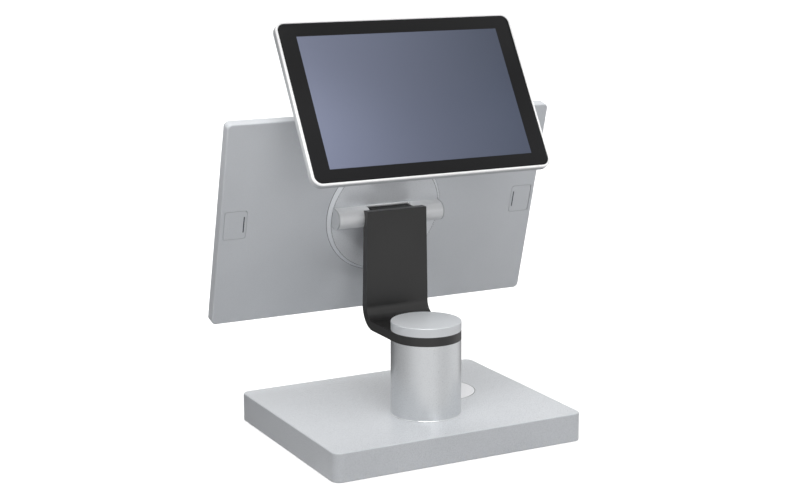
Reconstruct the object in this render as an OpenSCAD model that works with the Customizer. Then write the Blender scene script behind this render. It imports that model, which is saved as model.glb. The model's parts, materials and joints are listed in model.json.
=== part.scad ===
// Two-screen counter terminal: base, post, swivelling arm, tilting main unit and customer display.
// Origin: on the post axis at the table top. +Z up, -Y towards the customer, +Y towards the operator.

/* [Base] */
// Width of the base
base_width = 269; // [240:1:320]
// Depth of the base
base_depth = 221.5; // [200:0.5:260]
// Height of the base housing
base_height = 28.1; // [27:0.1:36]
// Distance from the post axis back to the middle of the base
base_setback = 36.6; // [25:0.1:45]
// Radius of the upright corners
base_corner = 8; // [6:0.5:12]
// Rounding along the top edge
base_edge = 1.2; // [0.5:0.1:2.5]
// Side wall of the housing
base_wall = 3.2; // [2.5:0.1:4]
// Roof of the housing
base_roof = 4; // [3.5:0.1:5]
// Height that the anti-slip mat lifts the housing
mat_proud = 0.5; // [0.3:0.1:1]
// Thickness of the anti-slip mat
mat_thickness = 1.5; // [1.2:0.1:2.5]
// Diameter of the reader pad
pad_diameter = 73; // [50:1:74]
// Reader pad centre, to the right of the post axis
pad_x = 47.5; // [45:0.5:60]
// Reader pad centre, behind the post axis
pad_y = 58; // [56:0.5:66]

/* [Post] */
// Diameter of the post, the arm's ring and the cap
post_diameter = 69; // [66:0.5:76]
// Height of the post above the base
post_height = 75.1; // [60:0.1:120]
// Wall of the post tube
post_wall = 3.5; // [2.5:0.1:4]
// Height of the cap
cap_height = 8.7; // [8.2:0.1:14]

/* [Arm] */
// Thickness of the arm plate and of its ring
arm_thickness = 9; // [8:0.1:10]
// Distance from the post axis to the front face of the upright plate
arm_reach = 59.9; // [58:0.1:62]
// Outer radius of the bend
arm_bend = 22; // [18:0.5:24]
// Height of the plate's top edge above the tilt axis
arm_rise = 8.9; // [7:0.1:9.5]
// Width of the plate at its top edge
arm_top_width = 65.3; // [60:0.1:68]

/* [Tilt hinge] */
// Distance from the post axis back to the tilt axis
tilt_y = 79.6; // [79:0.1:84]
// Height of the tilt axis above the table
tilt_z = 212.1; // [200:0.1:240]
// Tilt of the main unit from upright at rest
main_tilt = 15; // [10:1:20]
// Radius of the barrel's round front
barrel_radius = 9.65; // [9.4:0.05:10]
// Length of the barrel
barrel_length = 118.5; // [110:0.5:119]
// Width of the arm's knuckle
knuckle_width = 45; // [40:0.5:46]
// Diameter of the tilt shaft
shaft_diameter = 7; // [6:0.1:7.5]

/* [Main unit] */
// Width of the main unit
main_width = 353.3; // [340:0.1:380]
// Height of the main unit
main_height = 212; // [205:0.5:240]
// Thickness of the main unit
main_thickness = 10.5; // [10.4:0.1:12]
// Radius of the unit's corners
main_corner = 5; // [3:0.5:8]
// Rounding along the unit's rear edges
main_edge = 1.5; // [0.8:0.1:2]
// Side wall of the rear cover
main_wall = 1.6; // [1.4:0.1:2]
// Distance that the tilt axis stands off the rear cover
axis_standoff = 10.05; // [9.9:0.05:10.4]
// Distance from the tilt axis down to the middle of the unit
main_drop = 1.7; // [0:0.1:4]
// Diameter of the mounting disc
disc_diameter = 119; // [119:0.5:124]
// Height of the disc above the rear cover
disc_raise = 3.7; // [3.4:0.1:4]
// Width of the sloping rim around the disc
rim_width = 3.1; // [2:0.1:6]

/* [Port covers] */
// Width of a port cover
port_width = 23.2; // [20:0.1:26]
// Height of a port cover
port_height = 28.9; // [24:0.1:32]
// Thickness of a port cover
port_thickness = 1.6; // [1.4:0.1:1.8]
// Distance from the unit's side to the cover
port_margin = 4.3; // [4:0.1:7]
// Height of the covers above the middle of the unit
port_rise = 1.1; // [-10:0.1:30]

/* [Customer display] */
// Width of the customer glass
glass_width = 251; // [240:0.5:270]
// Height of the customer glass
glass_height = 162.3; // [158:0.1:180]
// Radius of the glass corners
glass_corner = 7.5; // [5:0.5:10]
// Width of the white rim
rim_visible = 2.6; // [2:0.1:4]
// Thickness of the customer display
customer_thickness = 10; // [9.6:0.1:12]
// Rounding of the rear shell's back edge
customer_edge = 4.2; // [2:0.1:4.5]
// Lean of the customer display back from upright at rest
customer_tilt = 31.5; // [25:0.5:40]
// Middle of the customer glass, behind the post axis
customer_y = 21.4; // [10:0.1:30]
// Middle of the customer glass, above the table
customer_z = 337.8; // [330:0.1:350]
// Distance from the glass back to the pin
pin_standoff = 19.2; // [19:0.1:24]
// Distance from the middle of the glass down to the pin
pin_drop = 9; // [0:0.5:16]
// Diameter of the pin
pin_diameter = 6; // [5:0.1:6.4]

/* [Hidden] */
$fn = 64;
overrun = 1;
running_gap = 0.3;
seam = 0.3;
fit_gap = 0.05;

// Base
plate_thickness = 1.5;
base_top = mat_proud + base_height;
roof_bottom = base_top - base_roof;
plate_top = mat_thickness + plate_thickness;
boss_radius = 4.5;
boss_x = base_width / 2 - base_wall - boss_radius;
boss_y = base_depth / 2 - base_wall - boss_radius;
base_screw_radius = 2;
base_screw_head_radius = 3.8;
base_screw_length = 9;
mat_margin = 3;
mat_hole_radius = 5;
base_back = base_setback + base_depth / 2;
base_front = base_setback - base_depth / 2;
ballast_height = 8;
ballast_gap = 1;
ballast_hole_radius = 16;
io_bay = 36;
pad_thickness = 2;
pad_ledge = 3.5;
reader_thickness = 1.6;
reader_chip = [14, 10, 1.4];
coil_width = 3;
coil_height = 0.4;

// Sockets on the back of the base
io_standoff = 3;
io_standoff_radius = 3;
io_board_size = [110, 30, 1.6];
io_board_inset = 4;
io_board_y = base_back - base_wall - io_board_inset - io_board_size[1];
io_board_z = plate_top + io_standoff;
io_top = io_board_z + io_board_size[2];
io_setback = 0.4;
window_gap = 0.4;
lan_size = [16, 21, 13.3];
lan_share = -0.35;
lan_x = lan_share * io_board_size[0];
lan_mouth = [11.8, 12, 8];
usb_size = [14.4, 16, 6.8];
usb_shares = [-0.1, 0.11];
usb_x = [for (share = usb_shares) share * io_board_size[0]];
usb_mouth = [12.4, 11, 4.8];
usb_tongue = [11, 8, 1.6];
power_size = [9.6, 15, 11];
power_share = 0.35;
power_x = power_share * io_board_size[0];
power_bore_radius = 3.2;
power_bore_depth = 10;
power_pin_radius = 1;

// Post
post_radius = post_diameter / 2;
post_bore_radius = post_radius - post_wall;
plug_radius = post_bore_radius - fit_gap;
post_top = base_top + post_height;
post_foot_chamfer = 0.8;
foot_plug_height = 14;
head_plug_height = 16;
wiring_radius = 10;
post_bolt_radius = 3;
post_bolt_head_radius = 5;
post_bolt_head_height = 6;
post_bolt_circle = 20;
post_bolt_grip = 11;
bolt_socket_radius = 2.9;
bolt_socket_depth = 3;
pad_under_post_radius = 36;
pad_under_post_height = 3;

// Swivel
ring_top = post_top + arm_thickness;
collar_radius = 12;
collar_relief = 0.2;
stud_radius = 6;
swivel_run = 0.06;
lower_washer_thickness = 1;
lower_washer_width = 2.7;
window_inner = 18.5;
window_outer = 26.5;
window_angle = 200;
stop_circle = 22.5;
stop_pin_radius = 2;
stop_pin_depth = 6;
stop_pin_rise = 3.5;
stop_slot_depth = 4;
swivel_range = 90;
stop_angle = swivel_range + asin((stop_pin_radius + seam) / stop_circle);
upper_washer_thickness = 0.8;
upper_washer_radius = 25.5;
clamp_radius = 26;
clamp_thickness = 1.4;
spring_rise = 1.2;
spring_plate = 0.8;
spring_radius = 14;
nut_height = 3;
nut_radius = 10.4;
clamp_bottom = ring_top + upper_washer_thickness;
spring_bottom = clamp_bottom + clamp_thickness;
nut_bottom = spring_bottom + spring_rise;
nut_top = nut_bottom + nut_height;
cap_chamfer = 0.5;

// Arm
arm_back = arm_reach + arm_thickness;
arm_top = tilt_z + arm_rise;
bend_y = arm_back - arm_bend;
bend_z = post_top + arm_bend;
scallop_radius = 13.3;
groove_width = 12;
groove_depth = 4.5;
groove_start = 15;
strip_width = 16;
strip_thickness = 1.2;
groove_end = 40;
strip_end = 50;
harness_gap = 0.3;
knuckle_foot = 40;
knuckle_foot_thickness = 4;
neck_half = 9;
hub_radius = barrel_radius - running_gap;
shaft_radius = shaft_diameter / 2;
shaft_run = 0.05;
knuckle_screw_radius = 2;
knuckle_screw_head_radius = 3.8;
knuckle_screw_head_height = 2.2;
knuckle_screw_length = 9.5;
knuckle_screw_x = 14;
knuckle_screw_rows = [6, 20];

// Barrel
washer_thickness = 1;
washer_radius = 8.4;
notch_half = knuckle_width / 2 + washer_thickness;
cheek_end = notch_half + 7.5;
end_cap_thickness = 1.5;
barrel_half = barrel_length / 2 - end_cap_thickness;
cavity_radius = 5;
shaft_thread_radius = 2.5;
tilt_spring_thickness = 0.7;
tilt_spring_rise = 1.3;
tilt_spring_radius = 4.6;
tilt_nut_height = 5;
tilt_nut_radius = 4.6;
shaft_tail = 3;
spigot_length = 2;
strip_plane = 4.8;
barrel_screw_radius = 1.5;
barrel_screw_x = 27;
barrel_screw_v = 6.5;
barrel_screw_grip = 6;
barrel_screw_head_radius = 2.7;
barrel_screw_head_height = 2;

// Main unit: h is measured from the tilt axis towards the customer
disc_radius = disc_diameter / 2;
disc_face = disc_raise - axis_standoff;
rear_face = -axis_standoff;
front_face = rear_face - main_thickness;
rear_wall = 2;
main_glass_thickness = 1.6;
main_lcd_thickness = 2.8;
glass_gap = 0.2;
glass_face = front_face + main_glass_thickness;
lcd_front = glass_face + glass_gap;
lcd_back = lcd_front + main_lcd_thickness;
chassis_thickness = 1;
chassis_back = lcd_back + chassis_thickness;
chassis_margin = 1.5;
ledge_width = 1;
ledge_height = 1.2;
lcd_side_gap = 0.95;
lcd_end_gap = 5.6;
main_glass_gap = 0.15;
rim_land = 0.6;
main_boss_radius = 3;
main_boss_inset = 9;
main_boss_mid_x = 66;
small_screw_radius = 1;
small_screw_head_radius = 1.9;
small_screw_head_height = 0.6;
small_screw_grip = 2.4;
disc_screw_radius = 1.5;
disc_screw_head_radius = 2.6;
disc_screw_head_height = 0.8;
disc_screw_circle = 51;
disc_screw_grip = 6;
cable_slot = [45, 3.7];
cable_slot_drop = 17.2;
board_gap = 7;
board_end_margin = 31;
board_thickness = 1;
chip_height = 1.1;
speaker_size = [44, 16, 2.2];
speaker_x = (main_boss_mid_x + main_width / 2 - main_boss_inset) / 2;
speaker_margin = 10.4;
speaker_v = main_wall + speaker_margin + speaker_size[1] / 2 - main_height / 2;
button_drop = 44;
button_v = main_height / 2 - button_drop;
button_length = 10;
button_width = 2.6;
button_proud = 0.6;
button_flange = 1;
button_flange_thickness = 0.8;
button_travel = 0.4;
button_depth = 15.2;
switch_size = [3, 7, 2.4];

// Port covers
port_x = main_width / 2 - port_margin - port_width / 2;
port_v = port_rise - main_drop;
port_corner = 3;
port_pocket = 3.9;
port_floor = 0.8;
port_lip = 1;
hinge_edge = port_thickness / 2;
port_pin_radius = 0.5;
port_pin_length = 1;
nail_slot = [1.2, 16.8];
nail_slot_inset = 2.7;
socket_size = [12, 6, 2];
insert_radius = 2;
insert_height = 1.6;
insert_spread = 10.5;

// Customer display: h is measured from its pin towards the customer
pin_radius = pin_diameter / 2;
pin_y = customer_y + pin_standoff * cos(customer_tilt) - pin_drop * sin(customer_tilt);
pin_z = customer_z - pin_standoff * sin(customer_tilt) - pin_drop * cos(customer_tilt);
customer_back = pin_standoff - customer_thickness;
bezel_depth = 1.8;
customer_outer_width = glass_width + 2 * rim_visible;
customer_outer_height = glass_height + 2 * rim_visible;
customer_outer_corner = glass_corner + rim_visible;
shell_front = pin_standoff - bezel_depth;
shell_floor = 1.6;
customer_lcd = [229.5, 149.1, 2.5];
customer_board_size = [96, 44, 1.2];
customer_board_rise = 31;
lug_radius = 5.6;
lug_half = 15;
lug_gap = 0.3;
outer_lug_width = 12;
hinge_plate = [70, 40];
hinge_plate_gap = 6.4;
hinge_screw_x = 28;
hinge_screw_v = 14;
hinge_screw_radius = 1.5;
hinge_screw_head_radius = 2.8;
hinge_screw_head_height = 1.4;
hinge_screw_grip = 4.8;
hinge_boss_radius = 4;
hinge_boss_height = 2.4;
pin_head_radius = 4.4;
pin_head_height = 1.6;
pin_nut_height = 3;

// Bracket between the disc and the customer display's pin
bracket_thickness = 4;
bracket_foot_bottom = 36;
bracket_foot_height = 20;
bracket_half = lug_half + lug_gap + outer_lug_width;
bracket_screw_x = 19;
bracket_screw_rows = [5, 14];
bracket_screw_radius = 2;
bracket_screw_head_radius = 3.6;
bracket_screw_head_height = 2.4;
bracket_screw_grip = 8;
pin_v = (tilt_y - pin_y) * sin(main_tilt) + (pin_z - tilt_z) * cos(main_tilt);
pin_h = (tilt_y - pin_y) * cos(main_tilt) - (pin_z - tilt_z) * sin(main_tilt);

// Flat rectangle with round corners
module round_rect(w, d, r) {
    square([w - 2 * r, d], center = true);
    square([w, d - 2 * r], center = true);
    for (x = [-1, 1]) for (y = [-1, 1])
        translate([x * (w / 2 - r), y * (d / 2 - r)]) circle(r);
}

// Round post whose top edge is rounded
module soft_puck(r, h, e) {
    rotate_extrude() {
        square([r, h - e]);
        square([r - e, h]);
        translate([r - e, h - e]) intersection() {
            circle(e);
            square([e, e]);
        }
    }
}

// Plate with round corners and a rounded top edge
module soft_plate(w, d, h, r, e) {
    linear_extrude(h - e) round_rect(w, d, r);
    for (x = [-1, 1]) for (y = [-1, 1])
        translate([x * (w / 2 - r), y * (d / 2 - r), 0]) soft_puck(r, h, e);
    soft_bar(w - 2 * r, d, h, e);
    rotate([0, 0, 90]) soft_bar(d - 2 * r, w, h, e);
}

// Straight bar along X with its two long top edges rounded
module soft_bar(length, d, h, e) {
    translate([-length / 2, -d / 2 + e, 0]) cube([length, d - 2 * e, h]);
    for (y = [-1, 1]) translate([0, y * (d / 2 - e), h - e]) intersection() {
        rotate([0, 90, 0]) cylinder(h = length, r = e, center = true);
        translate([-length / 2, -e, 0]) cube([length, 2 * e, e]);
    }
    translate([-length / 2, -d / 2, 0]) cube([length, d, h - e]);
}

// Flat ring
module washer(outer, inner, t) {
    difference() {
        cylinder(h = t, r = outer);
        translate([0, 0, -overrun]) cylinder(h = t + 2 * overrun, r = inner);
    }
}

// Screw that points down from the top of its head, with a hexagon socket
module screw(r, grip, head_r, head_h) {
    difference() {
        union() {
            translate([0, 0, -head_h]) cylinder(h = head_h, r = head_r);
            translate([0, 0, -head_h - grip]) cylinder(h = grip + head_h / 2, r = r);
        }
        translate([0, 0, -head_h / 2]) cylinder(h = head_h, r = head_r / 2, $fn = 6);
    }
}

// Hole for such a screw: clearance bore and head room above
module screw_hole(r, grip, head_r, head_h) {
    translate([0, 0, -head_h - grip]) cylinder(h = grip + head_h, r = r + fit_gap);
    translate([0, 0, -head_h]) cylinder(h = head_h + overrun, r = head_r + seam);
}

// Profile drawn in Y and Z, drawn out along X
module along_x(w) {
    rotate([90, 0, 90]) linear_extrude(w, center = true) children();
}

// Straight flat strip from point a to point b, in a profile
module strip(a, b, t) {
    run = b - a;
    translate(a) rotate(atan2(run[1], run[0])) translate([0, -t / 2]) square([norm(run), t]);
}

// Places children at the six screw bosses of the base
module at_base_screws() {
    for (x = [-1, 1]) for (y = [-1, 0, 1])
        translate([x * boss_x, base_setback + y * boss_y, 0]) children();
}

// Places children on the four post bolts
module at_post_bolts() {
    for (a = [45:90:315]) rotate([0, 0, a]) translate([post_bolt_circle, 0, 0]) children();
}

// Frame of the main unit: X across, Y up the unit, Z towards the customer, origin on the tilt axis
module in_head(h = 0) {
    translate([0, tilt_y, tilt_z]) rotate([90 + main_tilt, 0, 0]) translate([0, 0, h]) children();
}

// Frame of the customer display, origin on its pin
module in_customer(h = 0) {
    translate([0, pin_y, pin_z]) rotate([90 - customer_tilt, 0, 0]) translate([0, 0, h]) children();
}

// Base

module socket_windows() {
    window_reach = base_wall + 2 * overrun;
    for (s = [[lan_x, lan_size], [usb_x[0], usb_size], [usb_x[1], usb_size], [power_x, power_size]])
        translate([s[0] - s[1][0] / 2 - window_gap, base_back - base_wall - overrun, io_top - window_gap])
            cube([s[1][0] + 2 * window_gap, window_reach, s[1][2] + 2 * window_gap]);
}

module base_housing() color("silver") {
    difference() {
        union() {
            difference() {
                translate([0, base_setback, mat_proud])
                    soft_plate(base_width, base_depth, base_height, base_corner, base_edge);
                translate([0, base_setback, mat_proud - overrun])
                    linear_extrude(base_height - base_roof + overrun) round_rect(
                        base_width - 2 * base_wall,
                        base_depth - 2 * base_wall,
                        base_corner - base_wall
                    );
            }
            at_base_screws() translate([0, 0, plate_top])
                cylinder(h = roof_bottom - plate_top + base_roof / 2, r = boss_radius);
            translate([0, 0, roof_bottom - pad_under_post_height])
                cylinder(h = pad_under_post_height + base_roof / 2, r = pad_under_post_radius);
        }
        at_base_screws() translate([0, 0, plate_top - overrun])
            cylinder(h = base_screw_length + overrun, r = base_screw_radius + fit_gap);
        at_post_bolts() translate([0, 0, roof_bottom - pad_under_post_height - overrun])
            cylinder(h = pad_under_post_height + base_roof + 2 * overrun, r = post_bolt_radius + fit_gap);
        translate([0, 0, roof_bottom - pad_under_post_height - overrun])
            cylinder(h = pad_under_post_height + base_roof + 2 * overrun, r = wiring_radius);
        translate([pad_x, pad_y, base_top - pad_thickness])
            cylinder(h = pad_thickness + overrun, r = pad_diameter / 2 + seam);
        translate([pad_x, pad_y, roof_bottom - pad_under_post_height - overrun])
            cylinder(h = base_roof + pad_under_post_height + overrun, r = pad_diameter / 2 - pad_ledge);
        socket_windows();
    }
}

module base_ballast() color("dimgray") {
    width = 2 * (boss_x - boss_radius - ballast_gap);
    front = base_front + base_wall + ballast_gap;
    depth = base_back - base_wall - io_bay - front;
    difference() {
        translate([0, front + depth / 2, plate_top]) linear_extrude(ballast_height)
            round_rect(width, depth, base_corner - base_wall);
        translate([0, 0, plate_top - overrun])
            cylinder(h = ballast_height + 2 * overrun, r = ballast_hole_radius);
    }
}

module base_bottom_plate() color("gray") {
    difference() {
        union() {
            translate([0, base_setback, mat_thickness]) linear_extrude(plate_thickness)
                round_rect(
                    base_width - 2 * base_wall - 2 * seam,
                    base_depth - 2 * base_wall - 2 * seam,
                    base_corner - base_wall
                );
            at_io_standoffs() cylinder(h = plate_thickness / 2 + io_standoff, r = io_standoff_radius);
        }
        at_base_screws() translate([0, 0, mat_thickness - overrun])
            cylinder(h = plate_thickness + 2 * overrun, r = base_screw_radius + fit_gap);
    }
}

module at_io_standoffs() {
    for (x = [-1, 1]) for (y = [0, 1])
        translate([
            x * (io_board_size[0] / 2 - io_board_inset),
            io_board_y + io_board_inset + y * (io_board_size[1] - 2 * io_board_inset),
            plate_top - plate_thickness / 2
        ]) children();
}

module base_mat() color("dimgray") {
    difference() {
        translate([0, base_setback, 0]) linear_extrude(mat_thickness)
            round_rect(
                base_width - 2 * base_wall - 2 * mat_margin,
                base_depth - 2 * base_wall - 2 * mat_margin,
                base_corner - base_wall
            );
        at_base_screws() translate([0, 0, -overrun])
            cylinder(h = mat_thickness + 2 * overrun, r = mat_hole_radius);
    }
}

module base_screws() color("gray") {
    head_height = mat_thickness - mat_proud;
    at_base_screws() translate([0, 0, mat_thickness - head_height]) mirror([0, 0, 1])
        screw(base_screw_radius, base_screw_length, base_screw_head_radius, head_height);
}

module reader_pad() color("white") {
    translate([pad_x, pad_y, base_top - pad_thickness]) cylinder(h = pad_thickness, r = pad_diameter / 2);
}

module reader_board() color("seagreen") {
    radius = pad_diameter / 2 - pad_ledge - seam;
    top = base_top - pad_thickness;
    translate([pad_x, pad_y, top - reader_thickness]) cylinder(h = reader_thickness, r = radius);
    translate([pad_x, pad_y, top - reader_thickness - coil_height])
        washer(radius, radius - coil_width, 2 * coil_height);
    translate([pad_x, pad_y, top - reader_thickness - reader_chip[2] / 2]) cube(reader_chip, center = true);
}

// Sockets

module io_board() color("seagreen") {
    translate([-io_board_size[0] / 2, io_board_y, io_board_z]) cube(io_board_size);
}

module socket_body(x, size) {
    translate([x - size[0] / 2, base_back - io_setback - size[1], io_top]) cube(size);
}

module socket_mouth(x, size, mouth) {
    translate([x - mouth[0] / 2, base_back - io_setback - mouth[1], io_top + (size[2] - mouth[2]) / 2])
        cube([mouth[0], mouth[1] + overrun, mouth[2]]);
}

module lan_socket() color("gainsboro") {
    difference() {
        socket_body(lan_x, lan_size);
        socket_mouth(lan_x, lan_size, lan_mouth);
    }
}

module usb_sockets() color("gainsboro") {
    for (x = usb_x) {
        difference() {
            socket_body(x, usb_size);
            socket_mouth(x, usb_size, usb_mouth);
        }
        translate([
            x - usb_tongue[0] / 2,
            base_back - io_setback - usb_mouth[1] - overrun,
            io_top + (usb_size[2] - usb_tongue[2]) / 2
        ]) cube([usb_tongue[0], usb_tongue[1] + overrun, usb_tongue[2]]);
    }
}

module power_inlet() color("dimgray") {
    mouth = base_back - io_setback;
    translate([power_x, mouth, io_top + power_size[2] / 2]) rotate([90, 0, 0]) {
        difference() {
            translate([-power_size[0] / 2, -power_size[2] / 2, 0])
                cube([power_size[0], power_size[2], power_size[1]]);
            translate([0, 0, -overrun]) cylinder(h = power_bore_depth + overrun, r = power_bore_radius);
        }
        translate([0, 0, overrun]) cylinder(h = power_bore_depth, r = power_pin_radius);
    }
}

// Post

module post_tube() color("silver") {
    translate([0, 0, base_top]) rotate_extrude() polygon([
        [post_bore_radius, 0],
        [post_radius - post_foot_chamfer, 0],
        [post_radius, post_foot_chamfer],
        [post_radius, post_height],
        [post_bore_radius, post_height]
    ]);
}

module post_foot_plug() color("gray") {
    translate([0, 0, base_top]) difference() {
        cylinder(h = foot_plug_height, r = plug_radius);
        translate([0, 0, -overrun]) cylinder(h = foot_plug_height + 2 * overrun, r = wiring_radius);
        at_post_bolts() translate([0, 0, -overrun])
            cylinder(h = post_bolt_grip + 2 * overrun, r = post_bolt_radius + fit_gap);
    }
}

module post_bolts() color("gray") {
    grip = base_roof + pad_under_post_height + post_bolt_grip;
    at_post_bolts() translate([0, 0, roof_bottom - pad_under_post_height - post_bolt_head_height])
        difference() {
            union() {
                cylinder(h = post_bolt_head_height, r = post_bolt_head_radius);
                cylinder(h = post_bolt_head_height + grip, r = post_bolt_radius);
            }
            translate([0, 0, -overrun])
                cylinder(h = bolt_socket_depth + overrun, r = bolt_socket_radius, $fn = 6);
        }
}

module post_head_plug() color("gray") {
    land = plug_radius - lower_washer_width - seam;
    difference() {
        union() {
            translate([0, 0, post_top - head_plug_height])
                cylinder(h = head_plug_height - lower_washer_thickness, r = plug_radius);
            translate([0, 0, post_top - head_plug_height]) cylinder(h = head_plug_height, r = land);
        }
        translate([0, 0, post_top - head_plug_height - overrun])
            cylinder(h = head_plug_height + 2 * overrun, r = stud_radius + fit_gap);
        translate([0, 0, post_top - head_plug_height - overrun]) rotate([0, 0, 90 - window_angle / 2])
            rotate_extrude(angle = window_angle) translate([window_inner, 0])
                square([window_outer - window_inner, head_plug_height + 2 * overrun]);
        translate([0, -stop_circle, post_top - stop_pin_depth])
            cylinder(h = stop_pin_depth + overrun, r = stop_pin_radius + fit_gap);
    }
}

module swivel_stop_pin() color("lightgray") {
    translate([0, -stop_circle, post_top - stop_pin_depth])
        cylinder(h = stop_pin_depth + stop_pin_rise, r = stop_pin_radius);
}

module swivel_lower_washer() color("whitesmoke") {
    translate([0, 0, post_top - lower_washer_thickness])
        washer(plug_radius, plug_radius - lower_washer_width, lower_washer_thickness);
}

module swivel_stud() color("lightgray") {
    translate([0, 0, post_top - head_plug_height])
        cylinder(h = head_plug_height + nut_top - post_top, r = stud_radius);
    translate([0, 0, post_top]) cylinder(h = arm_thickness - collar_relief, r = collar_radius);
}

module swivel_upper_washer() color("whitesmoke") {
    translate([0, 0, ring_top]) washer(upper_washer_radius, collar_radius, upper_washer_thickness);
}

module swivel_clamp_plate() color("gray") {
    translate([0, 0, clamp_bottom]) washer(clamp_radius, stud_radius + fit_gap, clamp_thickness);
}

module swivel_disc_spring() color("lightgray") {
    lift = spring_rise - spring_plate;
    translate([0, 0, spring_bottom]) rotate_extrude() polygon([
        [stud_radius + seam, lift],
        [spring_radius, 0],
        [spring_radius, spring_plate],
        [stud_radius + seam, spring_rise]
    ]);
}

module swivel_nut() color("lightgray") {
    translate([0, 0, nut_bottom]) difference() {
        cylinder(h = nut_height, r = nut_radius, $fn = 6);
        translate([0, 0, -overrun]) cylinder(h = nut_height + 2 * overrun, r = stud_radius + fit_gap);
    }
}

module post_cap() color("silver") {
    cavity = nut_top + seam - ring_top;
    translate([0, 0, ring_top]) difference() {
        rotate_extrude() polygon([
            [0, 0],
            [post_radius, 0],
            [post_radius, cap_height - cap_chamfer],
            [post_radius - cap_chamfer, cap_height],
            [0, cap_height]
        ]);
        translate([0, 0, -overrun]) cylinder(h = cavity + overrun, r = clamp_radius + fit_gap);
    }
}

// Arm

// Band of the arm's L profile, from its outer face inwards
module arm_profile(start, depth, end) {
    translate([start, post_top]) square([bend_y - start, depth]);
    translate([bend_y, bend_z]) difference() {
        intersection() {
            circle(arm_bend);
            translate([0, -arm_bend]) square([arm_bend, arm_bend]);
        }
        circle(arm_bend - depth);
    }
    translate([arm_back - depth, bend_z]) square([depth, end - bend_z]);
}

module arm() color("#2b2b2b") {
    rise = arm_top - bend_z;
    narrowing = (post_diameter - arm_top_width) / 2;
    difference() {
        union() {
            along_x(post_diameter) arm_profile(0, arm_thickness, arm_top);
            translate([0, 0, post_top]) cylinder(h = arm_thickness, r = post_radius);
        }
        for (side = [-1, 1]) translate([0, arm_back + overrun, bend_z]) rotate([90, 0, 0])
            linear_extrude(arm_thickness + arm_bend) polygon([
                [side * post_radius, 0],
                [side * (post_radius - narrowing * (rise + overrun) / rise), rise + overrun],
                [side * (post_radius + overrun), rise + overrun],
                [side * (post_radius + overrun), 0]
            ]);
        for (side = [-1, 1]) translate([side * (notch_half + post_radius), tilt_y, tilt_z])
            rotate([0, 90, 0]) cylinder(h = 2 * post_radius, r = scallop_radius, center = true);
        translate([0, 0, post_top - overrun])
            cylinder(h = arm_thickness + 2 * overrun, r = collar_radius + swivel_run);
        translate([0, 0, post_top - overrun]) rotate([0, 0, 270 - stop_angle])
            rotate_extrude(angle = 2 * stop_angle) translate([stop_circle - stop_pin_radius - seam, 0])
                square([2 * stop_pin_radius + 2 * seam, stop_slot_depth + overrun]);
        along_x(groove_width) arm_profile(groove_start, groove_depth, tilt_z - groove_end);
        along_x(strip_width) arm_profile(post_radius + seam, strip_thickness, tilt_z - groove_end);
        along_x(strip_width) translate([arm_back - overrun, bend_z])
            square([2 * overrun, tilt_z - groove_end - bend_z]);
        along_x(strip_width) translate([post_radius + seam, post_top - overrun])
            square([bend_y - post_radius - seam, 2 * overrun]);
        at_knuckle_screws() cylinder(h = knuckle_screw_length, r = knuckle_screw_radius + fit_gap);
    }
}

module at_knuckle_screws() {
    for (x = [-1, 1]) for (row = knuckle_screw_rows)
        translate([x * knuckle_screw_x, arm_back + knuckle_foot_thickness, tilt_z - knuckle_foot + row])
            rotate([90, 0, 0]) children();
}

module arm_cable_cover() color("#303030") {
    along_x(strip_width - 2 * seam)
        arm_profile(post_radius + 2 * seam, strip_thickness, tilt_z - strip_end);
}

module arm_harness() color("#181818") {
    along_x(groove_width - 2 * harness_gap) difference() {
        arm_profile(groove_start + overrun, groove_depth - harness_gap, tilt_z - strip_end);
        arm_profile(0, strip_thickness + harness_gap, tilt_z);
    }
}

module arm_knuckle() color("#262626") {
    difference() {
        along_x(knuckle_width) {
            translate([tilt_y, tilt_z]) circle(hub_radius);
            translate([arm_back, tilt_z - neck_half]) square([tilt_y - arm_back, 2 * neck_half]);
            translate([arm_back, tilt_z - knuckle_foot]) square([knuckle_foot_thickness, knuckle_foot]);
        }
        translate([0, tilt_y, tilt_z]) rotate([0, 90, 0])
            cylinder(h = knuckle_width + 2 * overrun, r = shaft_radius + shaft_run, center = true);
        at_knuckle_screws() mirror([0, 0, 1])
            screw_hole(
                knuckle_screw_radius,
                knuckle_screw_length,
                knuckle_screw_head_radius,
                knuckle_screw_head_height
            );
    }
}

module knuckle_screws() color("gray") {
    at_knuckle_screws() mirror([0, 0, 1]) screw(
        knuckle_screw_radius,
        knuckle_screw_length - knuckle_screw_head_height,
        knuckle_screw_head_radius,
        knuckle_screw_head_height
    );
}

// Tilt hinge

// D shape: round towards the customer, flat flanks back to the disc
module barrel_section() {
    translate([-barrel_radius, disc_face]) square([2 * barrel_radius, -disc_face]);
    intersection() {
        circle(barrel_radius);
        translate([-barrel_radius, 0]) square([2 * barrel_radius, barrel_radius]);
    }
}

module hinge_barrel() color("silver") {
    in_head() difference() {
        along_x(2 * barrel_half) barrel_section();
        rotate([0, 90, 0]) cylinder(h = 2 * notch_half, r = barrel_radius, center = true);
        translate([-notch_half, -barrel_radius - overrun, -strip_plane])
            cube([2 * notch_half, 2 * barrel_radius + 2 * overrun, barrel_radius + strip_plane + overrun]);
        rotate([0, 90, 0]) cylinder(h = 2 * barrel_half, r = shaft_radius + fit_gap, center = true);
        for (side = [-1, 1]) translate([side * (cheek_end + barrel_half) / 2, 0, 0]) rotate([0, 90, 0])
            cylinder(h = barrel_half - cheek_end + overrun, r = cavity_radius, center = true);
        at_barrel_screws() cylinder(h = barrel_screw_grip, r = barrel_screw_radius + fit_gap);
    }
}

module at_barrel_screws() {
    for (x = [-1, 1]) for (v = [-1, 1])
        translate([x * barrel_screw_x, v * barrel_screw_v, disc_face]) children();
}

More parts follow.
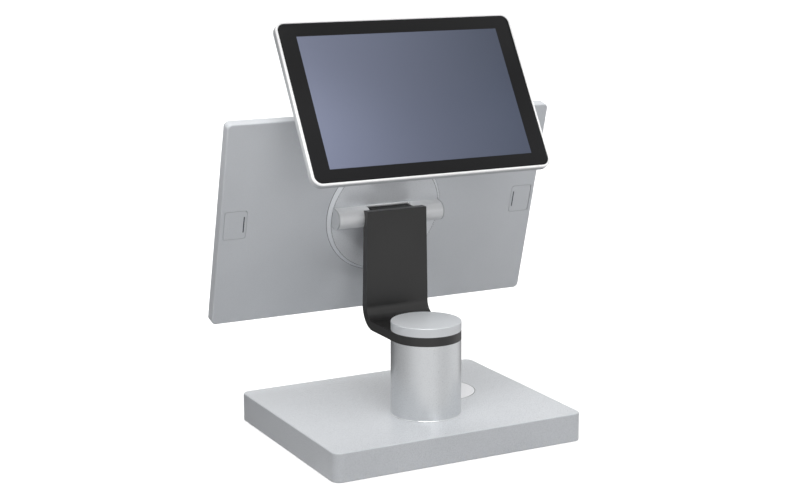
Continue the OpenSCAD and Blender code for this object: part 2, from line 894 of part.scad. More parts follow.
module barrel_end_caps() color("darkgray") {
    in_head() for (side = [-1, 1]) {
        translate([side * (barrel_half + end_cap_thickness / 2), 0, 0])
            along_x(end_cap_thickness) barrel_section();
        translate([side * (barrel_half - spigot_length / 2 + end_cap_thickness / 4), 0, 0])
            rotate([0, 90, 0]) cylinder(
                h = spigot_length + end_cap_thickness / 2,
                r = cavity_radius - fit_gap,
                center = true
            );
    }
}

module tilt_shaft() color("lightgray") {
    tail = cheek_end + tilt_spring_rise + tilt_nut_height + shaft_tail;
    translate([0, tilt_y, tilt_z]) rotate([0, 90, 0]) {
        cylinder(h = 2 * cheek_end, r = shaft_radius, center = true);
        cylinder(h = 2 * tail, r = shaft_thread_radius, center = true);
    }
}

module tilt_friction_washers() color("goldenrod") {
    for (side = [-1, 1]) translate([side * (knuckle_width + washer_thickness) / 2, tilt_y, tilt_z])
        rotate([0, 90, 0]) translate([0, 0, -washer_thickness / 2])
            washer(washer_radius, shaft_radius + fit_gap, washer_thickness);
}

module tilt_disc_springs() color("lightgray") {
    lift = tilt_spring_rise - tilt_spring_thickness;
    inner = shaft_thread_radius + fit_gap;
    for (side = [-1, 1]) translate([side * cheek_end, tilt_y, tilt_z]) rotate([0, side * 90, 0])
        rotate_extrude() polygon([
            [inner, lift],
            [tilt_spring_radius, 0],
            [tilt_spring_radius, tilt_spring_thickness],
            [inner, tilt_spring_rise]
        ]);
}

module tilt_nuts() color("lightgray") {
    for (side = [-1, 1]) translate([side * (cheek_end + tilt_spring_rise), tilt_y, tilt_z])
        rotate([0, side * 90, 0]) difference() {
            cylinder(h = tilt_nut_height, r = tilt_nut_radius, $fn = 6);
            translate([0, 0, -overrun])
                cylinder(h = tilt_nut_height + 2 * overrun, r = shaft_thread_radius + fit_gap);
        }
}

module barrel_screws() color("gray") {
    web = disc_face - chassis_back - barrel_screw_head_height;
    in_head() at_barrel_screws() translate([0, 0, -web - barrel_screw_head_height]) mirror([0, 0, 1])
        screw(
            barrel_screw_radius,
            web + barrel_screw_grip,
            barrel_screw_head_radius,
            barrel_screw_head_height
        );
}

module hinge_disc() color("silver") {
    web = disc_face - chassis_back - barrel_screw_head_height;
    thickness = disc_face - chassis_back;
    in_head() difference() {
        translate([0, -main_drop, chassis_back]) cylinder(h = thickness, r = disc_radius, $fn = 128);
        rotate([0, 90, 0]) cylinder(h = 2 * notch_half, r = barrel_radius, center = true);
        translate([-cable_slot[0] / 2, -cable_slot_drop - cable_slot[1] / 2, chassis_back - overrun])
            cube([cable_slot[0], cable_slot[1], thickness + 2 * overrun]);
        at_barrel_screws() translate([0, 0, -web - barrel_screw_head_height]) mirror([0, 0, 1])
            screw_hole(
                barrel_screw_radius,
                web + overrun,
                barrel_screw_head_radius,
                barrel_screw_head_height
            );
        at_bracket_screws() translate([0, 0, -bracket_thickness - bracket_screw_grip])
            cylinder(h = bracket_screw_grip + overrun, r = bracket_screw_radius + fit_gap);
        at_disc_screws() cylinder(h = disc_screw_grip, r = disc_screw_radius + fit_gap);
    }
}

module at_disc_screws() {
    for (a = [0:60:300]) translate([0, -main_drop, chassis_back]) rotate([0, 0, a])
        translate([disc_screw_circle, 0, 0]) children();
}

module disc_screws() color("gray") {
    in_head() at_disc_screws() translate([0, 0, -chassis_thickness]) mirror([0, 0, 1])
        screw(
            disc_screw_radius,
            chassis_thickness - disc_screw_head_height + disc_screw_grip,
            disc_screw_head_radius,
            disc_screw_head_height
        );
}

// Main unit

module main_outline(inset) {
    translate([0, -main_drop]) round_rect(
        main_width - 2 * inset,
        main_height - 2 * inset,
        max(main_corner - inset, main_wall)
    );
}

module at_main_bosses() {
    row = main_height / 2 - main_boss_inset;
    for (x = [-1, 1]) for (v = [-1, 1]) for (column = [main_width / 2 - main_boss_inset, main_boss_mid_x])
        translate([x * column, v * row - main_drop, chassis_back]) children();
}

module at_port(side) {
    translate([side * port_x, port_v, rear_face]) children();
}

module main_rear_cover() color("silver") {
    in_head() difference() {
        union() {
            difference() {
                translate([0, -main_drop, front_face])
                    soft_plate(main_width, main_height, main_thickness, main_corner, main_edge);
                translate([0, 0, front_face - overrun])
                    linear_extrude(main_thickness - rear_wall + overrun) main_outline(main_wall);
            }
            translate([0, -main_drop, rear_face - rear_wall / 2]) cylinder(
                h = rear_wall / 2,
                r = disc_radius + seam + rim_land + rim_width
            );
            translate([0, -main_drop, rear_face]) cylinder(
                h = disc_raise,
                r1 = disc_radius + seam + rim_land + rim_width,
                r2 = disc_radius + seam + rim_land,
                $fn = 128
            );
            translate([0, 0, glass_face]) linear_extrude(ledge_height) difference() {
                main_outline(main_wall / 2);
                main_outline(main_wall + ledge_width);
            }
            at_main_bosses() cylinder(h = rear_face - chassis_back - rear_wall / 2, r = main_boss_radius);
            for (side = [-1, 1]) at_port(side) translate([0, 0, -port_pocket - port_floor])
                linear_extrude(port_pocket + port_floor - rear_wall / 2) round_rect(
                    port_width + 2 * seam + 2 * port_lip,
                    port_height + 2 * seam + 2 * port_lip,
                    port_corner
                );
        }
        translate([0, -main_drop, chassis_back - overrun]) cylinder(
            h = disc_face - chassis_back + 2 * overrun,
            r = disc_radius + seam,
            $fn = 128
        );
        at_main_bosses() translate([0, 0, -overrun])
            cylinder(h = small_screw_grip + overrun, r = small_screw_radius + fit_gap);
        for (side = [-1, 1]) at_port(side) translate([0, 0, -port_pocket])
            linear_extrude(port_pocket + overrun)
                round_rect(port_width + 2 * seam, port_height + 2 * seam, port_corner);
        for (side = [-1, 1]) port_hinge(side) {
            cylinder(h = port_height + 2 * port_pin_length, r = port_pin_radius + fit_gap, center = true);
            cylinder(h = port_height, r = hinge_edge + seam, center = true);
        }
        translate([main_width / 2 - main_wall - overrun, button_v - main_drop, -button_depth])
            rotate([0, 90, 0]) linear_extrude(main_wall + 2 * overrun)
                round_rect(button_width + 2 * seam, button_length + 2 * seam, button_width / 2);
    }
}

module main_chassis() color("lightgray") {
    in_head() difference() {
        translate([0, 0, lcd_back]) linear_extrude(chassis_thickness)
            main_outline(main_wall + chassis_margin);
        at_main_bosses() translate([0, 0, -chassis_thickness]) mirror([0, 0, 1]) screw_hole(
            small_screw_radius,
            chassis_thickness + overrun,
            small_screw_head_radius,
            small_screw_head_height
        );
        at_disc_screws() translate([0, 0, -chassis_thickness]) mirror([0, 0, 1]) screw_hole(
            disc_screw_radius,
            chassis_thickness + overrun,
            disc_screw_head_radius,
            disc_screw_head_height
        );
    }
}

module chassis_screws() color("gray") {
    in_head() at_main_bosses() translate([0, 0, -chassis_thickness]) mirror([0, 0, 1]) screw(
        small_screw_radius,
        chassis_thickness - small_screw_head_height + small_screw_grip,
        small_screw_head_radius,
        small_screw_head_height
    );
}

module main_lcd_panel() color("slategray") {
    width = main_width - 2 * (main_wall + ledge_width + lcd_side_gap);
    height = main_height - 2 * (main_wall + ledge_width + lcd_end_gap);
    in_head(lcd_front) translate([-width / 2, -height / 2 - main_drop, 0])
        cube([width, height, main_lcd_thickness]);
}

module main_touch_glass() color("#101010") {
    in_head(front_face) linear_extrude(main_glass_thickness) main_outline(main_wall + main_glass_gap);
}

module main_board() color("seagreen") {
    chip_share = [
        [0, 0.28, 0.5, 0.26],
        [-0.2, -0.12, 0.3, 0.14],
        [0.22, -0.12, 0.3, 0.14],
        [0, -0.36, 0.7, 0.12]
    ];
    outer = port_x - port_width / 2 - seam - port_lip - board_gap;
    inner = disc_radius + seam + board_gap;
    board_width = outer - inner;
    board_height = main_height - 2 * board_end_margin;
    in_head(chassis_back) translate([-(outer + inner) / 2, -main_drop, 0]) {
        translate([-board_width / 2, -board_height / 2, 0])
            cube([board_width, board_height, board_thickness]);
        for (chip = chip_share) {
            width = chip[2] * board_width;
            height = chip[3] * board_height;
            translate([
                chip[0] * board_width - width / 2,
                chip[1] * board_height - height / 2,
                board_thickness / 2
            ]) cube([width, height, board_thickness / 2 + chip_height]);
        }
    }
}

module main_speakers() color("#202020") {
    in_head(chassis_back) for (side = [-1, 1])
        translate([side * speaker_x - speaker_size[0] / 2, speaker_v - speaker_size[1] / 2 - main_drop, 0])
            cube(speaker_size);
}

module power_button() color("silver") {
    inner = main_width / 2 - main_wall;
    in_head() translate([inner, button_v - main_drop, -button_depth]) rotate([0, 90, 0]) {
        translate([0, 0, -button_flange_thickness / 2])
            linear_extrude(main_wall + button_proud + button_flange_thickness / 2)
                round_rect(button_width, button_length, button_width / 2 - fit_gap);
        translate([0, 0, -button_flange_thickness]) linear_extrude(button_flange_thickness)
            square([button_width + 2 * button_flange, button_length + 2 * button_flange], center = true);
    }
}

module power_switch() color("#202020") {
    back = main_width / 2 - main_wall - button_flange_thickness - button_travel - fit_gap;
    in_head() translate([back - switch_size[0], button_v - main_drop - switch_size[1] / 2, chassis_back])
        cube(switch_size);
}

module accessory_sockets() color("#181818") {
    in_head() for (side = [-1, 1]) at_port(side) translate([0, 0, -port_pocket]) {
        translate([-socket_size[0] / 2, -socket_size[1] / 2, 0]) cube(socket_size);
        for (v = [-1, 1]) translate([0, v * insert_spread, 0])
            washer(insert_radius, insert_radius / 2, insert_height);
    }
}

// Places children on the hinge line at the outer edge of a port cover
module port_hinge(side) {
    at_port(side) translate([side * (port_width / 2 - hinge_edge), 0, -hinge_edge])
        rotate([90, 0, 0]) children();
}

module port_cover(side) {
    length = port_height - 2 * fit_gap;
    in_head() {
        difference() {
            union() {
                at_port(side) translate([0, 0, -port_thickness])
                    linear_extrude(port_thickness) intersection() {
                        round_rect(port_width, port_height, port_corner);
                        translate([-side * hinge_edge, 0]) square([port_width, port_height], center = true);
                    }
                port_hinge(side) cylinder(h = port_height - 2 * port_corner, r = hinge_edge, center = true);
            }
            at_port(side) translate([-side * (port_width / 2 - nail_slot_inset), 0, -port_thickness / 2])
                linear_extrude(port_thickness)
                    round_rect(nail_slot[0], nail_slot[1], nail_slot[0] / 2 - fit_gap);
        }
        port_hinge(side) cylinder(h = length + 2 * port_pin_length, r = port_pin_radius, center = true);
    }
}

module port_cover_left() color("silver") port_cover(-1);

module port_cover_right() color("silver") port_cover(1);

// Customer display

module bracket_profile() {
    foot_h = disc_face + bracket_thickness / 2;
    foot_top = [bracket_foot_bottom + bracket_foot_height, foot_h];
    translate([bracket_foot_bottom, disc_face]) square([bracket_foot_height, bracket_thickness]);
    translate(foot_top) circle(bracket_thickness / 2);
    strip(foot_top, [pin_v, pin_h], bracket_thickness);
    translate([pin_v, pin_h]) circle(lug_radius);
}

module at_bracket_screws() {
    for (x = [-1, 1]) for (row = bracket_screw_rows)
        translate([x * bracket_screw_x, bracket_foot_bottom + row, disc_face + bracket_thickness])
            children();
}

module customer_bracket() color("#262626") {
    in_head() difference() {
        along_x(2 * bracket_half) bracket_profile();
        translate([0, pin_v, pin_h]) rotate([0, 90, 0]) {
            cylinder(h = 2 * lug_half + 2 * lug_gap, r = lug_radius + lug_gap, center = true);
            cylinder(h = 2 * bracket_half + 2 * overrun, r = pin_radius + shaft_run, center = true);
        }
        at_bracket_screws() screw_hole(
            bracket_screw_radius,
            bracket_thickness,
            bracket_screw_head_radius,
            bracket_screw_head_height
        );
    }
}

module bracket_screws() color("gray") {
    in_head() at_bracket_screws() screw(
        bracket_screw_radius,
        bracket_thickness - bracket_screw_head_height + bracket_screw_grip - seam,
        bracket_screw_head_radius,
        bracket_screw_head_height
    );
}

module customer_hinge_pin() color("lightgray") {
    translate([0, pin_y, pin_z]) rotate([0, 90, 0]) {
        cylinder(h = 2 * bracket_half, r = pin_radius, center = true);
        translate([0, 0, bracket_half]) cylinder(h = pin_head_height, r = pin_head_radius);
        translate([0, 0, -bracket_half - pin_nut_height])
            cylinder(h = pin_nut_height + overrun, r = pin_radius);
    }
}

module customer_hinge_nut() color("lightgray") {
    translate([-bracket_half, pin_y, pin_z]) rotate([0, -90, 0]) difference() {
        cylinder(h = pin_nut_height, r = lug_radius - fit_gap, $fn = 6);
        translate([0, 0, -overrun]) cylinder(h = pin_nut_height + 2 * overrun, r = pin_radius + fit_gap);
    }
}

module at_hinge_screws() {
    for (x = [-1, 1]) for (v = [-1, 1])
        translate([x * hinge_screw_x, v * hinge_screw_v, hinge_plate_gap]) children();
}

module customer_hinge_block() color("#262626") {
    in_customer() difference() {
        union() {
            along_x(2 * lug_half) {
                circle(lug_radius);
                translate([-lug_radius, 0]) square([2 * lug_radius, customer_back]);
            }
            translate([-hinge_plate[0] / 2, -hinge_plate[1] / 2, hinge_plate_gap])
                cube([hinge_plate[0], hinge_plate[1], customer_back - hinge_plate_gap]);
        }
        rotate([0, 90, 0])
            cylinder(h = 2 * lug_half + 2 * overrun, r = pin_radius + shaft_run, center = true);
        at_hinge_screws() mirror([0, 0, 1]) screw_hole(
            hinge_screw_radius,
            hinge_screw_grip,
            hinge_screw_head_radius,
            hinge_screw_head_height
        );
    }
}

module hinge_block_screws() color("gray") {
    in_customer() at_hinge_screws() mirror([0, 0, 1])
        screw(hinge_screw_radius, hinge_screw_grip, hinge_screw_head_radius, hinge_screw_head_height);
}

module customer_outline(inset) {
    translate([0, pin_drop]) round_rect(
        customer_outer_width - 2 * inset,
        customer_outer_height - 2 * inset,
        customer_outer_corner - inset
    );
}

module customer_rear_shell() color("darkgray") {
    depth = shell_front - customer_back;
    in_customer() difference() {
        union() {
            difference() {
                translate([0, pin_drop, shell_front]) mirror([0, 0, 1]) soft_plate(
                    customer_outer_width,
                    customer_outer_height,
                    depth,
                    customer_outer_corner,
                    customer_edge
                );
                translate([0, 0, customer_back + shell_floor])
                    linear_extrude(depth) customer_outline(customer_edge);
            }
            at_hinge_screws() translate([0, 0, customer_back - hinge_plate_gap + shell_floor / 2])
                cylinder(h = shell_floor / 2 + hinge_boss_height, r = hinge_boss_radius);
        }
        at_hinge_screws() translate([0, 0, -overrun]) cylinder(
            h = hinge_screw_head_height + hinge_screw_grip + overrun,
            r = hinge_screw_radius + fit_gap
        );
    }
}

module customer_bezel() color("white") {
    in_customer(shell_front) linear_extrude(bezel_depth) difference() {
        customer_outline(0);
        customer_outline(rim_visible - seam);
    }
}

module customer_lcd_panel() color("slategray") {
    in_customer(pin_standoff - bezel_depth - customer_lcd[2])
        translate([-customer_lcd[0] / 2, pin_drop - customer_lcd[1] / 2, 0]) cube(customer_lcd);
}

module customer_glass() color("#101010") {
    in_customer(pin_standoff - bezel_depth)
        linear_extrude(bezel_depth) customer_outline(rim_visible);
}

module customer_board() color("seagreen") {
    in_customer(customer_back + shell_floor) translate([
        -customer_board_size[0] / 2,
        pin_drop + customer_board_rise - customer_board_size[1] / 2,
        0
    ]) cube(customer_board_size);
}

base_housing();
base_ballast();
base_bottom_plate();
base_mat();
base_screws();
reader_pad();
reader_board();
io_board();
lan_socket();
usb_sockets();
power_inlet();
post_tube();
post_foot_plug();
post_bolts();
post_head_plug();
swivel_stop_pin();
swivel_lower_washer();
swivel_stud();
swivel_upper_washer();
swivel_clamp_plate();
swivel_disc_spring();
swivel_nut();
post_cap();
arm();
arm_harness();
arm_cable_cover();
arm_knuckle();
knuckle_screws();
hinge_barrel();
barrel_end_caps();
tilt_shaft();
tilt_friction_washers();
tilt_disc_springs();
tilt_nuts();
barrel_screws();
hinge_disc();
disc_screws();
main_rear_cover();
main_chassis();
chassis_screws();
main_lcd_panel();
main_touch_glass();
main_board();
main_speakers();
power_button();
power_switch();
accessory_sockets();
port_cover_left();
port_cover_right();
customer_bracket();
bracket_screws();
customer_hinge_pin();
customer_hinge_nut();
customer_hinge_block();
hinge_block_screws();
customer_rear_shell();
customer_bezel();
customer_lcd_panel();
customer_glass();
customer_board();
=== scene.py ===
import json
import math

import bpy
from mathutils import Matrix, Vector


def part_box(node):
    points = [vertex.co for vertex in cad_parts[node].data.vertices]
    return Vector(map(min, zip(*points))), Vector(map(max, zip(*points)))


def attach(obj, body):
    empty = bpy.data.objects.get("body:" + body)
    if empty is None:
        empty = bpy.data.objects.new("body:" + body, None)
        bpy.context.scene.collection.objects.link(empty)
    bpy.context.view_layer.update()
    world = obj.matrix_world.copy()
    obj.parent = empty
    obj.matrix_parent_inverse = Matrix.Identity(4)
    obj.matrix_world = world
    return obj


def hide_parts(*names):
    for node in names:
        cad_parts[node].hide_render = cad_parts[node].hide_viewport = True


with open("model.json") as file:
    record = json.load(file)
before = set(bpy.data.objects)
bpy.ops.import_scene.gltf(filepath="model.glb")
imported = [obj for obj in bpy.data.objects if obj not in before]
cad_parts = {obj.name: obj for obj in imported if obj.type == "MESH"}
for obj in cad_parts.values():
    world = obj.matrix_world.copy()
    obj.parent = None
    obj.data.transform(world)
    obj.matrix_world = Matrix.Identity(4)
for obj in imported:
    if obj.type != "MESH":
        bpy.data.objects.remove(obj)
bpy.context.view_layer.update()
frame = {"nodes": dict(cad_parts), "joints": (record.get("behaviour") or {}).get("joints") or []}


# Camera
# A product shot from the customer's left, a little above the screens, with a long lens.
# The angle, distance and lens come from matching the base, post and both screens with the photograph.
# The lens and the centre are in pixels, and heights count from the underside of the base housing.
shot_turn = math.radians(-27.80)
shot_rise = math.radians(12.013)
shot_distance = 1.63115
shot_focal = 1653.892
shot_centre = (425.686, 438.991)
frame_width = 800
frame_height = 500
film_width = 36
far_limit = 50
housing_foot = Vector((0, 0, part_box("base_housing")[0].z))

across = Vector((math.cos(shot_turn), math.sin(shot_turn), 0))
towards = Vector((
    math.sin(shot_turn) * math.cos(shot_rise),
    -math.cos(shot_turn) * math.cos(shot_rise),
    math.sin(shot_rise),
))
upwards = towards.cross(across)
slide = (shot_centre[0] - frame_width / 2) * shot_distance / shot_focal
lift = (frame_height / 2 - shot_centre[1]) * shot_distance / shot_focal
lens = bpy.data.cameras.new("shot")
lens.sensor_width = film_width
lens.lens = shot_focal / frame_width * film_width
lens.clip_end = far_limit
camera = bpy.data.objects.new("shot", lens)
camera.location = towards * shot_distance - across * slide - upwards * lift + housing_foot
camera.rotation_euler = (math.pi / 2 - shot_rise, 0, shot_turn)
bpy.context.scene.collection.objects.link(camera)
bpy.context.scene.camera = camera
bpy.context.scene.view_settings.view_transform = "Standard"


# Studio
# The terminal stands on a white sweep in a white room, under ceiling panels and a wide overhead sheet.
# A weak panel stands in front, a narrow card on each side lights the hinge, and a low card behind the base.
# Shiny surfaces see the sweep pale in front and on the right and dark behind, and the room darker overhead.
sweep_size = 60
sweep_white = 0.97
sweep_glow = 0.22
sweep_bounce = (0.4, 0.4, 0.41, 1)
sweep_roughness = 0.9
sweep_specular = 0.1
# Each pair is a turn in degrees, counted from the customer's side to the right, and the tone seen there.
sweep_tones = (
    (-90, 0.56), (-60, 0.9), (-35, 1.0), (-6, 0.92), (15, 0.76), (38, 0.78), (65, 0.94), (88, 0.95),
    (105, 0.55), (130, 0.2), (160, 0.08), (200, 0.12), (230, 0.35), (269, 0.56),
)
room_fill = 0.3
wall_top = 0.3
wall_tone = 0.95
roof_start = 0.9
roof_tone = 0.45


def grey(tone):
    return (tone, tone, tone, 1)


def ray_kinds(nodes, links):
    rays = nodes.new("ShaderNodeLightPath")
    direct = nodes.new("ShaderNodeMath")
    direct.operation = "MAXIMUM"
    links.new(rays.outputs["Is Camera Ray"], direct.inputs[0])
    links.new(rays.outputs["Is Transmission Ray"], direct.inputs[1])
    return direct.outputs["Value"], rays.outputs["Is Glossy Ray"]


def mixed(nodes, links, factor, first, second):
    mix = nodes.new("ShaderNodeMixShader")
    links.new(factor, mix.inputs["Fac"])
    links.new(first, mix.inputs[1])
    links.new(second, mix.inputs[2])
    return mix.outputs["Shader"]


def mapped(nodes, low, high, at_low, at_high):
    scale = nodes.new("ShaderNodeMapRange")
    scale.inputs["From Min"].default_value = low
    scale.inputs["From Max"].default_value = high
    scale.inputs["To Min"].default_value = at_low
    scale.inputs["To Max"].default_value = at_high
    return scale


bpy.ops.object.select_all(action="DESELECT")
bpy.ops.mesh.primitive_plane_add(size=sweep_size)
sweep = bpy.context.object
sweep.name = "white_sweep"
white_paper = bpy.data.materials.new("white_paper")
white_paper.use_nodes = True
paper_nodes = white_paper.node_tree.nodes
paper_links = white_paper.node_tree.links
lit_paper = paper_nodes["Principled BSDF"]
lit_paper.inputs["Base Color"].default_value = sweep_bounce
lit_paper.inputs["Roughness"].default_value = sweep_roughness
lit_paper.inputs["Specular IOR Level"].default_value = sweep_specular
bright_paper = paper_nodes.new("ShaderNodeBsdfDiffuse")
bright_paper.inputs["Color"].default_value = grey(sweep_white)
paper_glow = paper_nodes.new("ShaderNodeEmission")
paper_glow.inputs["Strength"].default_value = sweep_glow
seen_paper = paper_nodes.new("ShaderNodeAddShader")
paper_links.new(bright_paper.outputs["BSDF"], seen_paper.inputs[0])
paper_links.new(paper_glow.outputs["Emission"], seen_paper.inputs[1])
paper_place = paper_nodes.new("ShaderNodeTexCoord")
paper_turn = paper_nodes.new("ShaderNodeTexGradient")
paper_turn.gradient_type = "RADIAL"
paper_tone = paper_nodes.new("ShaderNodeValToRGB")
tone_stops = paper_tone.color_ramp.elements
for end_stop in tone_stops:
    end_stop.color = grey(sweep_tones[0][1])
for stop_turn, stop_tone in sweep_tones[1:]:
    tone_stops.new((stop_turn - sweep_tones[0][0]) / 360).color = grey(stop_tone)
paper_shine = paper_nodes.new("ShaderNodeEmission")
paper_links.new(paper_place.outputs["Object"], paper_turn.inputs["Vector"])
paper_links.new(paper_turn.outputs["Fac"], paper_tone.inputs["Fac"])
paper_links.new(paper_tone.outputs["Color"], paper_shine.inputs["Color"])
paper_direct, paper_glossy = ray_kinds(paper_nodes, paper_links)
matt_paper = mixed(
    paper_nodes, paper_links, paper_direct, lit_paper.outputs["BSDF"], seen_paper.outputs["Shader"]
)
all_paper = mixed(paper_nodes, paper_links, paper_glossy, matt_paper, paper_shine.outputs["Emission"])
paper_links.new(all_paper, paper_nodes["Material Output"].inputs["Surface"])
sweep.data.materials.append(white_paper)

room = bpy.data.worlds.new("white_room")
bpy.context.scene.world = room
room.use_nodes = True
room_nodes = room.node_tree.nodes
room_links = room.node_tree.links
room_light = room_nodes["Background"]
room_light.inputs["Color"].default_value = grey(1)
room_light.inputs["Strength"].default_value = room_fill
room_seen = room_nodes.new("ShaderNodeBackground")
room_seen.inputs["Color"].default_value = grey(1)
room_shine = room_nodes.new("ShaderNodeBackground")
room_place = room_nodes.new("ShaderNodeTexCoord")
room_axes = room_nodes.new("ShaderNodeSeparateXYZ")
room_tone = mapped(room_nodes, wall_top, roof_start, wall_tone, roof_tone)
room_links.new(room_place.outputs["Generated"], room_axes.inputs["Vector"])
room_links.new(room_axes.outputs["Z"], room_tone.inputs["Value"])
room_links.new(room_tone.outputs["Result"], room_shine.inputs["Color"])
room_direct, room_glossy = ray_kinds(room_nodes, room_links)
room_hidden = mixed(
    room_nodes, room_links, room_glossy, room_light.outputs["Background"], room_shine.outputs["Background"]
)
whole_room = mixed(room_nodes, room_links, room_direct, room_hidden, room_seen.outputs["Background"])
room_links.new(whole_room, room_nodes["World Output"].inputs["Surface"])


def hung(lamp, place, aim=(0, 0, 0)):
    holder = bpy.data.objects.new(lamp.name, lamp)
    holder.location = place
    holder.rotation_euler = (Vector(place) - Vector(aim)).to_track_quat("Z", "Y").to_euler()
    bpy.context.scene.collection.objects.link(holder)
    return holder


for sun_name, sun_strength, sun_spread, sun_side in (
    ("ceiling_panels", 1.58, 38, (-0.15, -0.32, 0.935)),
    ("overhead_sheet", 1.06, 90, (0, 0, 1)),
    ("front_panel", 0.32, 30, (0, -0.97, 0.24)),
):
    sun = bpy.data.lights.new(sun_name, "SUN")
    sun.energy = sun_strength
    sun.angle = math.radians(sun_spread)
    hung(sun, sun_side)

hinge_aim = (0, 0.07, 0.215)
base_aim = (-0.02, 0.1, 0.01)
for card_name, card_power, card_size, card_spread, card_place, card_aim in (
    ("left_wing", 0.029, 0.12, 12, (-0.62, -0.2, 0.6), hinge_aim),
    ("right_wing", 0.023, 0.12, 12, (0.62, -0.2, 0.6), hinge_aim),
    ("low_card", 0.12, 0.3, 26, (0, 0.8, 0.2), base_aim),
):
    card = bpy.data.lights.new(card_name, "AREA")
    card.energy = card_power
    card.size = card_size
    card.spread = math.radians(card_spread)
    hung(card, card_place, card_aim).visible_glossy = False


# Anti-slip mat
# A thin sheet of moulded rubber with a fine ribbed face, glued to the bottom plate round the six screws.
# Rubber is dull and almost black, with a little dust in its grain.
# Both noise textures give values between about 0.3 and 0.7.
noise_low = 0.3
noise_high = 0.7
fine_detail = 3
cloud_scale = 14
cloud_detail = 2
cloud_share = 0.35
relief_strength = 0.6
# At a scale of one the bands of the wave texture are 0.314 m apart.
wave_period = 0.314


def dressed(material, *names):
    for name in names:
        for slot in frame["nodes"][name].material_slots:
            slot.material = material


def grained(name, dark, light, grain, rough, bump=0.00001, metal=0, specular=0.5, edge=0):
    material = bpy.data.materials.new(name)
    material.use_nodes = True
    nodes = material.node_tree.nodes
    links = material.node_tree.links
    shader = nodes["Principled BSDF"]
    shader.inputs["Metallic"].default_value = metal
    shader.inputs["Specular IOR Level"].default_value = specular
    place = nodes.new("ShaderNodeTexCoord")
    place.name = "place"
    fine = nodes.new("ShaderNodeTexNoise")
    fine.inputs["Scale"].default_value = 1 / grain
    fine.inputs["Detail"].default_value = fine_detail
    cloud = nodes.new("ShaderNodeTexNoise")
    cloud.inputs["Scale"].default_value = cloud_scale
    cloud.inputs["Detail"].default_value = cloud_detail
    both = nodes.new("ShaderNodeMix")
    both.inputs["Factor"].default_value = cloud_share
    tone = nodes.new("ShaderNodeValToRGB")
    tone.name = "tone"
    for stop, position, colour in zip(tone.color_ramp.elements, (noise_low, noise_high), (dark, light)):
        stop.position = position
        stop.color = (*colour, 1)
    matt = mapped(nodes, noise_low, noise_high, *rough)
    relief = nodes.new("ShaderNodeBump")
    relief.name = "relief"
    relief.inputs["Distance"].default_value = bump
    relief.inputs["Strength"].default_value = relief_strength
    links.new(place.outputs["Object"], fine.inputs["Vector"])
    links.new(place.outputs["Object"], cloud.inputs["Vector"])
    links.new(fine.outputs["Fac"], both.inputs["A"])
    links.new(cloud.outputs["Fac"], both.inputs["B"])
    links.new(both.outputs["Result"], tone.inputs["Fac"])
    links.new(fine.outputs["Fac"], matt.inputs["Value"])
    links.new(fine.outputs["Fac"], relief.inputs["Height"])
    links.new(tone.outputs["Color"], shader.inputs["Base Color"])
    links.new(matt.outputs["Result"], shader.inputs["Roughness"])
    links.new(relief.outputs["Normal"], shader.inputs["Normal"])
    if edge:
        soft_edge = nodes.new("ShaderNodeBevel")
        soft_edge.inputs["Radius"].default_value = edge
        links.new(soft_edge.outputs["Normal"], relief.inputs["Normal"])
    return material


def ribbed(material, pitch, height):
    nodes = material.node_tree.nodes
    links = material.node_tree.links
    ribs = nodes.new("ShaderNodeTexWave")
    ribs.inputs["Scale"].default_value = wave_period / pitch
    raised = nodes.new("ShaderNodeBump")
    raised.inputs["Distance"].default_value = height
    links.new(nodes["place"].outputs["Object"], ribs.inputs["Vector"])
    links.new(ribs.outputs["Fac"], raised.inputs["Height"])
    links.new(raised.outputs["Normal"], nodes["relief"].inputs["Normal"])


mat_rubber = grained(
    "mat_rubber", dark=(0.012, 0.012, 0.013), light=(0.03, 0.03, 0.032),
    grain=0.0006, rough=(0.75, 0.95), bump=0.00008,
)
ribbed(mat_rubber, pitch=0.003, height=0.0006)
dressed(mat_rubber, "base_mat")


# Bottom plate and its screws
# Zinc plated sheet with four pressed standoffs for the connection board, held to the housing by six screws.
# The zinc is bright grey with soft crystals, and the screws are turned steel.
zinc = grained(
    "zinc_plate", dark=(0.33, 0.34, 0.35), light=(0.52, 0.53, 0.55),
    grain=0.004, rough=(0.32, 0.5), metal=1,
)
screw_steel = grained(
    "screw_steel", dark=(0.4, 0.4, 0.41), light=(0.6, 0.6, 0.61),
    grain=0.0004, rough=(0.25, 0.4), bump=0.000004, metal=1,
)
dressed(zinc, "base_bottom_plate")
dressed(screw_steel, "base_screws")


# Ballast
# A flame cut steel slab that keeps the terminal from tipping, left with its dark mill scale.
# It lies on the bottom plate between the screw bosses, with a round hole in the middle for the wiring.
mill_scale = grained(
    "mill_scale", dark=(0.03, 0.032, 0.036), light=(0.09, 0.085, 0.08),
    grain=0.003, rough=(0.55, 0.8), bump=0.00005, metal=0.7,
)
dressed(mill_scale, "base_ballast")


# Base housing
# Die cast zinc alloy box with round upright corners and a small radius along its top edge.
# Its coat is a satin silver metallic paint: even and pale, with a fine flake that only shows close up.
satin_silver = grained(
    "satin_silver", dark=(0.545, 0.565, 0.59), light=(0.625, 0.645, 0.67),
    grain=0.0005, rough=(0.24, 0.34), bump=0.000004, metal=0.12, edge=0.0004,
)
dressed(satin_silver, "base_housing")


# Reader pad
# A white disc of satin plastic that drops into a step in the roof, flush with the paint.
# The joint round it shows as a thin dark line.
joint_reach = 0.00045
pad_low, pad_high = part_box("reader_pad")


